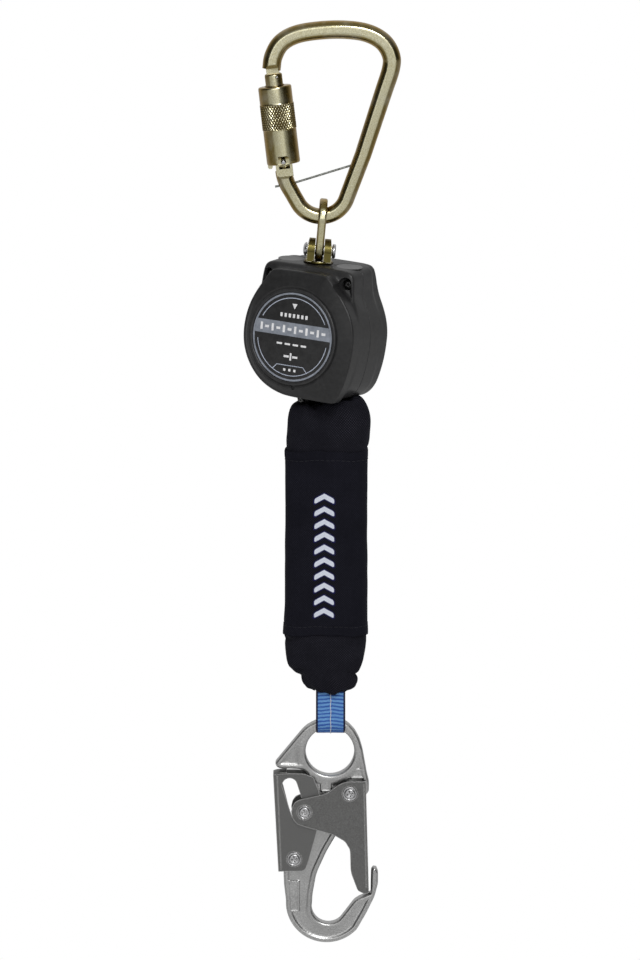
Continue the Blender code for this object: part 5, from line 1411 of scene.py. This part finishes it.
line = [((LX, PACK_Y + y, z), (1, 0, 0)) for y, z in raw]
web_strip("blue_loop_webbing", line, 17.7, 1.05, BLUE, "pack", ["hook_loop_webbing"], rib=0.17, across=36, v0=-204.0)
# centre stitches on both outer faces
cs = []
n = len(raw)
L = np.r_[0, np.cumsum(np.hypot(*np.diff(raw, axis=0).T))]
T = np.gradient(raw, axis=0)
T /= np.linalg.norm(T, axis=1)[:, None]
NN = np.c_[T[:, 1], -T[:, 0]]
if (NN[20] @ np.array([-1.0, 0.0])) < 0:
    NN = -NN
k, s = 0, 8.0
while s < L[-1] - 8.0:
    q = np.linspace(s, s + 1.75, 7)
    lift = 0.52 + 0.30 * np.sin(np.linspace(0, math.pi, 7)) ** 0.5
    pts = [(LX + 0.15 * math.sin(k * 1.7), PACK_Y + np.interp(a, L, raw[:, 0]) + h * np.interp(a, L, NN[:, 0]), np.interp(a, L, raw[:, 1]) + h * np.interp(a, L, NN[:, 1])) for a, h in zip(q, lift)]
    cs.append(pts)
    s += 2.2
    k += 1


def threads(name, runs, r, mat, body, fr=WORLD, sides=2):
    cu = bpy.data.curves.new(name, 'CURVE')
    cu.dimensions = '3D'
    cu.bevel_depth = r
    cu.bevel_resolution = sides
    cu.use_fill_caps = True
    for pts in runs:
        sp = cu.splines.new('POLY')
        sp.points.add(len(pts) - 1)
        for p, q in zip(sp.points, pts):
            p.co = (float(q[0]), float(q[1]), float(q[2]), 1)
    tmp = bpy.data.objects.new(name + "_c", cu)
    coll.objects.link(tmp)
    bpy.context.view_layer.update()
    me = bpy.data.meshes.new_from_object(tmp.evaluated_get(bpy.context.evaluated_depsgraph_get()))
    bpy.data.objects.remove(tmp)
    bpy.data.curves.remove(cu)
    ob = bpy.data.objects.new(name, me)
    coll.objects.link(ob)
    return done(ob, fr, mat, body, smooth=60, clean=False)


threads("loop_centre_stitches", cs, 0.30, PALE_THREAD, "pack")


# hem stitches on the wrap, 5.4 mm in from each edge
def hem_runs(e, inward):
    runs = []
    z = e + inward * 5.4
    a, b, dep = np.interp(-z, [-w[3] for w in WT], [w[0] for w in WT]), np.interp(-z, [-w[3] for w in WT], [w[1] for w in WT]), np.interp(-z, [-w[3] for w in WT], [w[2] for w in WT])
    pts, per = pouch_ring(a, b, dep, z, 0.0, 1600)
    step = 1600 / per
    i = 0.0
    while i < 1600:
        seg = [pts[int(i + k * step * 0.55) % 1600] for k in range(5)]
        out = []
        for j, (x, y, q) in enumerate(seg):
            f = gauss(q, -68.6, 9) + gauss(q, -180.2, 9)
            q2 = q + f * (0.45 * math.sin(x * 0.16 + 0.6) + 0.25 * math.sin(x * 0.41 + y * 0.3))
            c = Vector((x - 8.4, y - PACK_Y)).normalized()
            d = 0.42 * noise.noise(Vector((x * 0.045, y * 0.06, q2 * 0.028))) + 0.16 * noise.noise(Vector((x * 0.16, y * 0.16, q2 * 0.10))) + 0.02
            out.append((x + c.x * d, y + c.y * d, q2))
        runs.append(out)
        i += step * 3.1
    return runs


threads("wrap_hem_stitches", hem_runs(-68.6, -1) + hem_runs(-180.2, 1), 0.16, BLACK_THREAD, "pack", sides=1)

# ---- lifeline from drum to pack
R3 = HANG.to_3x3() @ Matrix.Rotation(math.radians(YAW), 3, 'Z')
hy = R3 @ Vector((0, 1, 0))
path = [R3 @ Vector(p) for p in ((27.6, 0.8, -10.2), (23.9, 0.8, -19.6), (20.2, 0.8, -28.6), (17.2, 0.8, -36.4))]
line = []
for i in range(3):
    for k in range(10):
        line.append((path[i].lerp(path[i + 1], k / 10), hy.copy()))
end = Vector((9.6, PACK_Y, -53.5))
for k in range(221):
    t = k / 220
    e = min(1.0, 1.7 * t)
    e = e * e * (3 - 2 * e)
    line.append((path[3].lerp(end, t), hy.lerp(Vector((-1, 0, 0)), e).normalized()))
drumz = Vector(ANCHOR)
S_ = (path[3] - drumz) * MM
E_ = (end + Vector((0, 0, 4.0)) - drumz) * MM
web_strip("lifeline_cloth_strip", line, 16.0, 1.15, LIFE, None, ["lifeline_webbing"], rib=0.08, pitch=1.9, across=24, v0=0.0, blend=("housing", "pack", tuple(S_), tuple(E_)))
# ---- the coil on the drum: separate turns of webbing
turns, per = 11, 36
coilp = []
for i in range(turns * per + 1):
    t = i / (turns * per)
    r = 13.4 + (27.5 - 13.4) * t
    a = 2 * math.pi * i / per
    coilp.append(((r * math.cos(a), 0.8, r * math.sin(a)), (0, 1, 0)))
web_strip("spooled_webbing_turns", coilp, 17.0, 1.1, LIFE, "drum", ["spooled_webbing"], across=10, fr=HOUSE)
# ---- tear web folded inside the cover
zig, layers = [], 8
ys = np.linspace(-7.6, 7.6, layers)
for i, y in enumerate(ys):
    za, zb = (-60.0, -193.0) if i % 2 == 0 else (-193.0, -60.0)
    for q in np.linspace(za, zb, 40):
        zig.append(((8.4, PACK_Y + y, q), (1, 0, 0)))
    if i < layers - 1:
        s = 1 if zb > za else -1
        for a in np.linspace(15, 165, 7):
            zig.append(((8.4, PACK_Y + y + 1.086 * (1 - math.cos(math.radians(a))), zb + s * 1.086 * math.sin(math.radians(a))), (1, 0, 0)))
web_strip("tear_web_folds", zig, 38.0, 1.6, LIFE, "pack", ["tear_web_pack"], across=10)


# ================================================================ snap hook
BODY = [(-9.0, 18.1), (-13.6, 15.7), (-16.7, 12.9), (-32.2, -6.0), (-33.0, -7.5), (-32.2, -9.4), (-30.2, -10.4), (-16.7, -11.0), (-13.6, -13.2), (-12.4, -20.1), (-11.6, -28.4),
        (-11.5, -36.5), (-13.4, -42.6), (-19.4, -49.4), (-24.6, -57.4), (-27.3, -65.0), (-28.1, -73.9), (-27.8, -82.0)] + circle2((-2.0, -93.6), 24.7, 22, 176, 318) + [
        (22.2, -99.8), (27.0, -89.8), (29.1, -81.8), (29.2, -75.2), (28.1, -72.2), (26.2, -71.9), (25.0, -73.6), (24.8, -80.7), (24.7, -87.6), (17.8, -90.4), (14.6, -92.6)] + circle2((-0.9, -96.2), 10.2, 18, 319, 168) + [
        (-10.5, -88.0), (-8.2, -75.5), (-2.4, -62.3), (2.8, -53.2), (7.6, -45.6), (11.6, -38.6), (16.2, -33.0), (20.8, -28.4), (23.5, -24.4), (23.6, -19.4), (22.2, -13.4), (21.0, -6.5), (19.6, 1.0), (17.7, 7.4), (14.9, 12.6), (11.5, 16.3)]
ring_top = circle2((0, 0), 20.2, 8, 64, 112)
GP, AP, LP = (12.0, -25.1), (-15.4, -36.5), (-21.6, -65.9)
PADS = [((16.6, -13.6), 8.4, 6.2), ((-2.4, -20.4), 6.4, 9.0), ((-21.9, -89.5), 7.0, 19.5)]


def flowing(pts, sharp=2.2, turn=38.0, k=3, keep=()):
    """Closed outline: gentle bends flow through their neighbours' midpoints, tight corners get a small radius."""
    P = []
    n = len(pts)
    for i in range(n):
        a, b, c = Vector(pts[i - 1]), Vector(pts[i]), Vector(pts[(i + 1) % n])
        la, lc = (a - b).length, (c - b).length
        bend = math.degrees((b - a).angle(c - b))
        r = sharp if bend > turn or i in keep else 999.0
        # push the corner out a little so the rounded curve still passes near the point
        if r > 900:
            mid = (a + c) / 2
            b = b + (b - mid) * 0.04
        P += [b + (a - b) * min(0.5, r / la), b, b + (c - b) * min(0.5, r / lc)]
    Q = []
    for p in P:
        if not Q or (p - Q[-1]).length > 1e-3:
            Q.append(p)
    for _ in range(k):
        Q = [v for i in range(len(Q)) for v in (Q[i] * 0.75 + Q[(i + 1) % len(Q)] * 0.25, Q[i] * 0.25 + Q[(i + 1) % len(Q)] * 0.75)]
    return [(p.x, p.y) for p in Q]


def smooth01(t):
    t = np.clip(t, 0, 1)
    return t * t * (3 - 2 * t)


def pad_field(V, c, w, h, r=0.9):
    q = np.abs(V - np.array(c)) - np.array([w / 2 - r, h / 2 - r])
    return np.hypot(np.maximum(q[:, 0], 0), np.maximum(q[:, 1], 0)) + np.minimum(np.maximum(q[:, 0], q[:, 1]), 0) - r


def hook_depth(d, V):
    E = 1.5
    y = np.where(d < E, 4.5 - E + np.sqrt(np.maximum(E * E - (E - np.minimum(d, E)) ** 2, 0)), 4.5)
    y = y - 0.75 * smooth01((d - 2.3) / 1.3)
    # the eye is a round bar: no sunk web close to it
    ring = np.hypot(V[:, 0], V[:, 1])
    y = np.where(ring < 20.5, np.maximum(y, 4.5 - np.maximum(0, 1.5 - d) ** 2 * 0.45 - 0.4 * smooth01((ring - 17.5) / 3.0) * smooth01((d - 2.3) / 1.3)), y)
    # bowl of the hook: a ridge line along the middle of the bar
    for c, w, h in PADS:
        f = pad_field(V, c, w, h)
        y = np.maximum(y, np.where(d > 0.8, 3.75 + 0.62 * smooth01((0.25 - f) / 0.5) - 0.22 * smooth01((-f - 0.9) / 0.4), 0))
    return y


def hook_back(d, V):
    y = hook_depth(d, V)
    for (cx, cz), lv in ((GP, 2.6), (LP, 2.2)):
        r = np.hypot(V[:, 0] - cx, V[:, 1] - cz)
        y = np.where(r < 5.2, lv, y)
    return y


extra = []
for c, w, h in PADS:
    for off in (-1.5, -1.1, -0.7, -0.3, 0.0, 0.3, 0.7):
        o = fillet([(c[0] - w / 2 - off, c[1] - h / 2 - off), (c[0] + w / 2 + off, c[1] - h / 2 - off), (c[0] + w / 2 + off, c[1] + h / 2 + off), (c[0] - w / 2 - off, c[1] + h / 2 + off)], 1.2, 3)
        extra += [tuple(p) for p in resample(o, 0.5)]
for (cx, cz) in (GP, LP):
    for r in (5.0, 5.35):
        extra += circle2((cx, cz), r, 64)
hk = plate("hook_forging", flowing(BODY + ring_top, 1.6), [circle2((0, 0), 14.7, 150), circle2(GP, 2.55, 40), circle2(LP, 2.55, 40)], hook_depth,
           (0.15, 0.4, 0.8, 1.2, 1.5, 1.9, 2.4, 2.8, 3.2, 3.6), grid=1.0, back=hook_back, step=0.55, extra=extra)
done(hk, HOOK, STEEL, "hook", ["hook_body"], smooth=42)

GATEPL = [(-23.5, -36.5), (-22.6, -32.6), (-20.7, -30.0), (-17.8, -28.7), (-2.3, -25.1), (6.0, -19.2), (10.1, -17.8), (21.8, -17.5), (22.0, -28.4), (23.6, -86.0), (22.1, -87.1), (19.9, -86.6),
          (16.8, -84.9), (12.5, -73.4), (12.2, -59.8), (9.1, -54.6), (1.9, -50.4), (-19.3, -44.3), (-22.1, -41.2)]
LEVER = [(-34.3, -13.8), (-28.1, -13.0), (-15.7, -13.1), (-10.0, -15.4), (-6.4, -24.3), (-6.0, -38.9), (-8.0, -49.4), (-12.6, -66.1), (-14.5, -71.8), (-16.7, -73.4), (-31.2, -73.6)]
slot_pts = circle2((-24.3, -20.4), 4.5, 20, 20, 200) + circle2((-18.9, -37.4), 4.5, 16, 200, 380)
slot_back = circle2((-24.3, -20.4), 4.5, 20, 20, 200) + circle2((-19.2, -39.6), 4.8, 16, 200, 380)


def round_some(pts, radii, k=3):
    """Closed outline with its own corner size at each point."""
    P = []
    n = len(pts)
    for i in range(n):
        a, b, c = Vector(pts[i - 1]), Vector(pts[i]), Vector(pts[(i + 1) % n])
        la, lc = (a - b).length, (c - b).length
        r = radii.get(i, 2.5)
        for v in (b + (a - b) * min(0.5, r / la), b, b + (c - b) * min(0.5, r / lc)):
            if not P or (v - P[-1]).length > 1e-4:
                P.append(v)
    if (P[0] - P[-1]).length < 1e-4:
        P.pop()
    for _ in range(k):
        P = [v for i in range(len(P)) for v in (P[i] * 0.75 + P[(i + 1) % len(P)] * 0.25, P[i] * 0.25 + P[(i + 1) % len(P)] * 0.75)]
    return [(p.x, p.y) for p in P]


gp = prism(round_some(GATEPL, {0: 9, 1: 9, 2: 9, 3: 9, 4: 5, 5: 5, 6: 4, 7: 0.5, 8: 2.0, 9: 0.8, 10: 1.2, 11: 1.4, 12: 3, 13: 9, 14: 9, 15: 9, 16: 9, 17: 9, 18: 9}), -8.4, 8.4)
gp.name = "hook_gate_plates"
# the two cheeks stand off their fold by a thin pressed groove
boole(gp, prism(round_some([(-40, 0), (40, 0), (40, -28.6), (20.6, -28.6), (22.1, -84.0), (22.1, -100), (-40, -100)], {0: 0.1, 1: 0.1, 2: 0.1, 3: 0.1, 5: 0.1, 6: 0.1}), -6.9, 6.9))
boole(gp, cyl((GP[0], 0, GP[1]), 'Y', 2.55, -12, 12, 40))
boole(gp, cyl((AP[0], 0, AP[1]), 'Y', 2.05, -12, 12, 40))
for s in (1, -1):
    boole(gp, prism([(20.35, -19.5), (20.75, -19.5), (22.25, -83.0), (21.85, -83.0)], *sorted((s * 8.15, s * 9.0))))
    for c in (GP, AP):
        ring = turned([(4.25, 8.18), (4.75, 8.18), (4.75, 9.2), (4.25, 9.2)], 'Y', n=64)
        ring.data.transform(Matrix.Translation(Vector((c[0], 0, c[1]))) @ (Matrix.Rotation(math.pi, 4, 'Z') if s < 0 else Matrix.Identity(4)))
        boole(gp, ring)
done(gp, HOOK, PLATE, "hook_gate", ["hook_gate"], smooth=33, bevel=0.34, seg=2, angle=42, weighted=True)

lv = prism(round_some(LEVER, {0: 0.8, 1: 3.0, 2: 3.5, 9: 1.5, 10: 0.5}), -6.5, 6.5)
lv.name = "hook_lever_plates"
boole(lv, prism([(-32.7, 0), (0, 0), (0, -90), (-29.6, -90), (-29.6, -73.0)], -5.2, 5.2))
boole(lv, prism(slot_pts, -12, 0))
boole(lv, prism(slot_back, 0, 12))
boole(lv, cyl((LP[0], 0, LP[1]), 'Y', 2.55, -12, 12, 40))
for s in (1, -1):
    boole(lv, prism([(-32.0, -14.5), (-31.6, -14.5), (-29.3, -72.5), (-29.7, -72.5)], *sorted((s * 6.28, s * 7.0))))
    ring = turned([(4.25, 6.28), (4.75, 6.28), (4.75, 7.2), (4.25, 7.2)], 'Y', n=64)
    ring.data.transform(Matrix.Translation(Vector((LP[0], 0, LP[1]))) @ (Matrix.Rotation(math.pi, 4, 'Z') if s < 0 else Matrix.Identity(4)))
    boole(lv, ring)
# rolled lip along the thumb edge
lip = skin([[(x, 6.1 * math.cos(a), z + 0.95 * math.sin(a)) for a in np.linspace(0, 2 * math.pi, 24, endpoint=False)] for x, z in
            ((-34.25, -13.9), (-32.0, -13.2), (-29.0, -12.75), (-26.0, -12.6))])
boole(lv, lip, 'UNION')
done(lv, HOOK, PLATE, "hook_lever", ["hook_lever"], smooth=33, bevel=0.34, seg=2, angle=42, weighted=True)


def star_rivet(name, c, r, half, hr, body):
    prof = [(0, 0.62), (1.0, 0.70), (1.9, 1.02), (2.25, 1.06), (2.7, 0.98), (3.0, 0.66), (3.12, 0.30), (3.3, 0.24), (3.45, 0.42), (hr - 0.35, 0.50), (hr - 0.05, 0.36), (hr, 0.06)]
    prof = round_profile(prof, 0.16, 1)
    side = lambda s: [(a, s * (half + h)) for a, h in prof]
    rv = turned(side(-1) + [(r, -half - 0.06)] + [(r, half + 0.06)] + side(1)[::-1], 'Y', (c[0], 0, c[1]), 64)
    for s in (1, -1):
        for k in range(4):
            a = math.radians(90 * k + 12)
            w = [(0.28, 0.0), (1.85, -0.74), (2.08, 0.0), (1.85, 0.74)]
            pts = [(c[0] + x * math.cos(a) - z * math.sin(a), c[1] + x * math.sin(a) + z * math.cos(a)) for x, z in w]
            boole(rv, prism(pts, *sorted((s * (half + 0.18), s * (half + 3.0)))))
    rv.name = name
    done(rv, HOOK, BRIGHT, body[0], [body[1]], smooth=38)
    # painted shade: the crimped star and the ring groove take the dark steel for the shadow they hold, and for grime
    rv.data.materials.append(DARK_STEEL)
    inv = (HOOK @ Matrix.Scale(MM, 4)).inverted()
    for p in rv.data.polygons:
        v = inv @ p.center
        d = math.hypot(v.x - c[0], v.z - c[1])
        if abs(v.y) > half and ((d < 2.1 and abs(v.y) < half + 0.45) or 3.0 < d < 3.42):
            p.material_index = 1
    return rv


star_rivet("gate_rivet_crimped", GP, 2.45, 8.4, 4.2, ("hook", "gate_rivet"))
star_rivet("gate_arm_pin_crimped", AP, 1.95, 8.4, 4.0, ("hook_gate", "gate_arm_pin"))
star_rivet("lever_rivet_crimped", LP, 2.45, 6.5, 4.2, ("hook", "lever_rivet"))


def helix(r, z0, z1, turns, seg, axis='Z', c=(0, 0, 0)):
    n = int(turns * seg)
    pts = []
    for i in range(n + 1):
        a = 2 * math.pi * i / seg
        x, y, z = r * math.cos(a), r * math.sin(a), z0 + (z1 - z0) * i / n
        pts.append((c[0] + x, c[1] + z, c[2] - y) if axis == 'Y' else (c[0] + x, c[1] + y, c[2] + z))
    return pts


tube("hook_gate_spring_coil", helix(3.7, 3.3, 6.2, 3, 36, 'Y', (GP[0], 0, GP[1])), 0.42, HOOK, WIRE, "hook", ["hook_gate_spring"])
tube("hook_lever_spring_coil", helix(3.7, 2.8, 4.6, 2, 36, 'Y', (LP[0], 0, LP[1])), 0.42, HOOK, WIRE, "hook", ["hook_lever_spring"])
tube("sleeve_spring_coil", helix(6.4, 13.0, 39.0, 7, 36), 0.45, GATE, WIRE, "gate", ["sleeve_spring"])

# ================================================================ parts carried over as they are, with working finishes
BRONZE = simple("sintered_bronze", (0.30, 0.17, 0.06), (0.58, 0.38, 0.16), 0.34, 1.0)
NYLON = simple("drum_nylon", (0.022, 0.022, 0.022), (0.05, 0.05, 0.05), 0.45, 0.0)
SPRING = simple("blue_spring_steel", (0.16, 0.17, 0.19), (0.36, 0.37, 0.39), 0.26, 1.0)
by_slot = {"yellow_zinc": ZINC, "zinc_steel": STEEL, "plate_steel": PLATE, "bright_steel": BRIGHT, "spring_steel": SPRING, "bronze": BRONZE, "housing_plastic": PLASTIC,
           "label_face": LABEL, "drum_nylon": NYLON, "lifeline_web": LIFE, "cover_fabric": COVER, "wrap_fabric": WRAP, "blue_web": BLUE}
for name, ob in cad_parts.items():
    if ob.hide_render:
        continue
    old = ob.data.materials[0].name if ob.data.materials else ""
    key = next((k for k in by_slot if old.startswith(k)), "plate_steel")
    ob.data.materials.clear()
    ob.data.materials.append(by_slot[key])
    print("carried over:", name, old, key)

# ================================================================ floor, surroundings, light, camera
bm = bmesh.new()
bmesh.ops.create_circle(bm, cap_ends=True, radius=70.0, segments=96)
floor = bm_obj("floor", bm)
floor.location = (0, 0, -2.1)
m = Mat("pale_floor")
lp = m.t.nodes.new("ShaderNodeLightPath")
speck = m.noise(40, 4, 0.6)
m.set(m.ramp(speck, [(0.3, (0.80, 0.80, 0.80)), (0.7, (0.86, 0.86, 0.86))]), 0.9, 0.0)
em = m.node("Emission", {"Color": (1, 1, 1, 1), "Strength": 1.0})
mixs = m.t.nodes.new("ShaderNodeMixShader")
m.t.links.new(lp.outputs["Is Camera Ray"], mixs.inputs[0])
m.t.links.new(m.b.outputs[0], mixs.inputs[1])
m.t.links.new(em.outputs[0], mixs.inputs[2])
m.t.links.new(mixs.outputs[0], m.t.nodes["Material Output"].inputs[0])
floor.data.materials.append(m.m)

w = bpy.data.worlds.new("studio")
w.use_nodes = True
scene.world = w
nt = w.node_tree
nt.nodes.clear()


def wn(kind, **props):
    n = nt.nodes.new("ShaderNode" + kind)
    for k, v in props.items():
        setattr(n, k, v)
    return n


def wmath(op, a, b=None):
    n = wn("Math", operation=op)
    for i, v in enumerate((a, b)):
        if v is None:
            continue
        if isinstance(v, bpy.types.NodeSocket):
            nt.links.new(v, n.inputs[i])
        else:
            n.inputs[i].default_value = v
    return n.outputs[0]


def wramp(fac, stops):
    n = wn("ValToRGB")
    els = n.color_ramp.elements
    while len(els) < len(stops):
        els.new(0.5)
    for e, (p, c) in zip(els, stops):
        e.position = p
        e.color = (c, c, c, 1)
    nt.links.new(fac, n.inputs[0])
    return n.outputs[0]


tc = wn("TexCoord")
sep = wn("SeparateXYZ")
nt.links.new(tc.outputs["Generated"], sep.inputs[0])
# shiny surfaces see a bright patch behind the camera, a dark ring round it and a mid tone beyond; matt ones see an even, top-heavy sky
th = wmath('DIVIDE', wmath('ARCCOSINE', wmath('MULTIPLY', sep.outputs[1], -1.0)), math.pi)
ring = wramp(th, [(0.0, 1.35), (0.085, 1.3), (0.13, 0.80), (0.175, 0.14), (0.24, 0.03), (0.46, 0.035), (0.56, 0.20), (0.74, 0.45), (1.0, 0.60)])
up = wramp(wmath('ADD', wmath('MULTIPLY', sep.outputs[2], 0.5), 0.5), [(0.0, 0.0), (0.55, 0.0), (0.78, 0.10), (0.92, 0.34), (1.0, 0.42)])
shiny = wmath('ADD', ring, up)
matt = wramp(wmath('ADD', wmath('MULTIPLY', sep.outputs[2], 0.5), 0.5), [(0.0, 0.14), (0.4, 0.20), (0.7, 0.40), (1.0, 0.70)])
lp0 = wn("LightPath")
pick = wn("Mix", data_type='FLOAT')
nt.links.new(lp0.outputs["Is Glossy Ray"], pick.inputs[0])
nt.links.new(matt, pick.inputs[2])
nt.links.new(shiny, pick.inputs[3])
bg = wn("Background")
nt.links.new(pick.outputs[0], bg.inputs[0])
bg.inputs[1].default_value = 1.0
cam_bg = wn("Background")
cam_bg.inputs[0].default_value = (1, 1, 1, 1)
cam_bg.inputs[1].default_value = 1.0
lpw = wn("LightPath")
mx = wn("MixShader")
nt.links.new(lpw.outputs["Is Camera Ray"], mx.inputs[0])
nt.links.new(bg.outputs[0], mx.inputs[1])
nt.links.new(cam_bg.outputs[0], mx.inputs[2])
wo = wn("OutputWorld")
nt.links.new(mx.outputs[0], wo.inputs[0])

CENTRE = Vector((-6.3, 0.0, -264.4)) * MM


def area(name, az, el, dist, size, power, target=CENTRE, col=(1, 1, 1)):
    li = bpy.data.lights.new(name, 'AREA')
    li.shape = 'RECTANGLE'
    li.size, li.size_y = size
    li.energy = power
    li.color = col
    ob = bpy.data.objects.new(name, li)
    coll.objects.link(ob)
    a, e = math.radians(az), math.radians(el)
    d = Vector((math.sin(a) * math.cos(e), -math.cos(a) * math.cos(e), math.sin(e)))
    ob.location = target + d * dist
    ob.rotation_euler = (-d).to_track_quat('-Z', 'Y').to_euler()
    return ob


area("key", 16, 36, 2.6, (0.8, 0.8), 25)
area("fill", -46, 12, 2.6, (1.2, 1.4), 4).visible_glossy = False
area("rim", 150, 40, 2.4, (1.2, 0.8), 8).visible_glossy = False

cam = bpy.data.cameras.new("camera")
cam.type = 'PERSP'
cam.lens = 200.0
cam.sensor_width = 36.0
cam.clip_start, cam.clip_end = 0.05, 300.0
camo = bpy.data.objects.new("camera", cam)
coll.objects.link(camo)
a, e = 0.0, math.radians(9.0)
d = Vector((math.sin(a) * math.cos(e), -math.cos(a) * math.cos(e), math.sin(e)))
camo.location = CENTRE + d * 3.2
camo.rotation_euler = (-d).to_track_quat('-Z', 'Y').to_euler()
scene.camera = camo
scene.view_settings.view_transform = 'Standard'

bpy.context.view_layer.update()
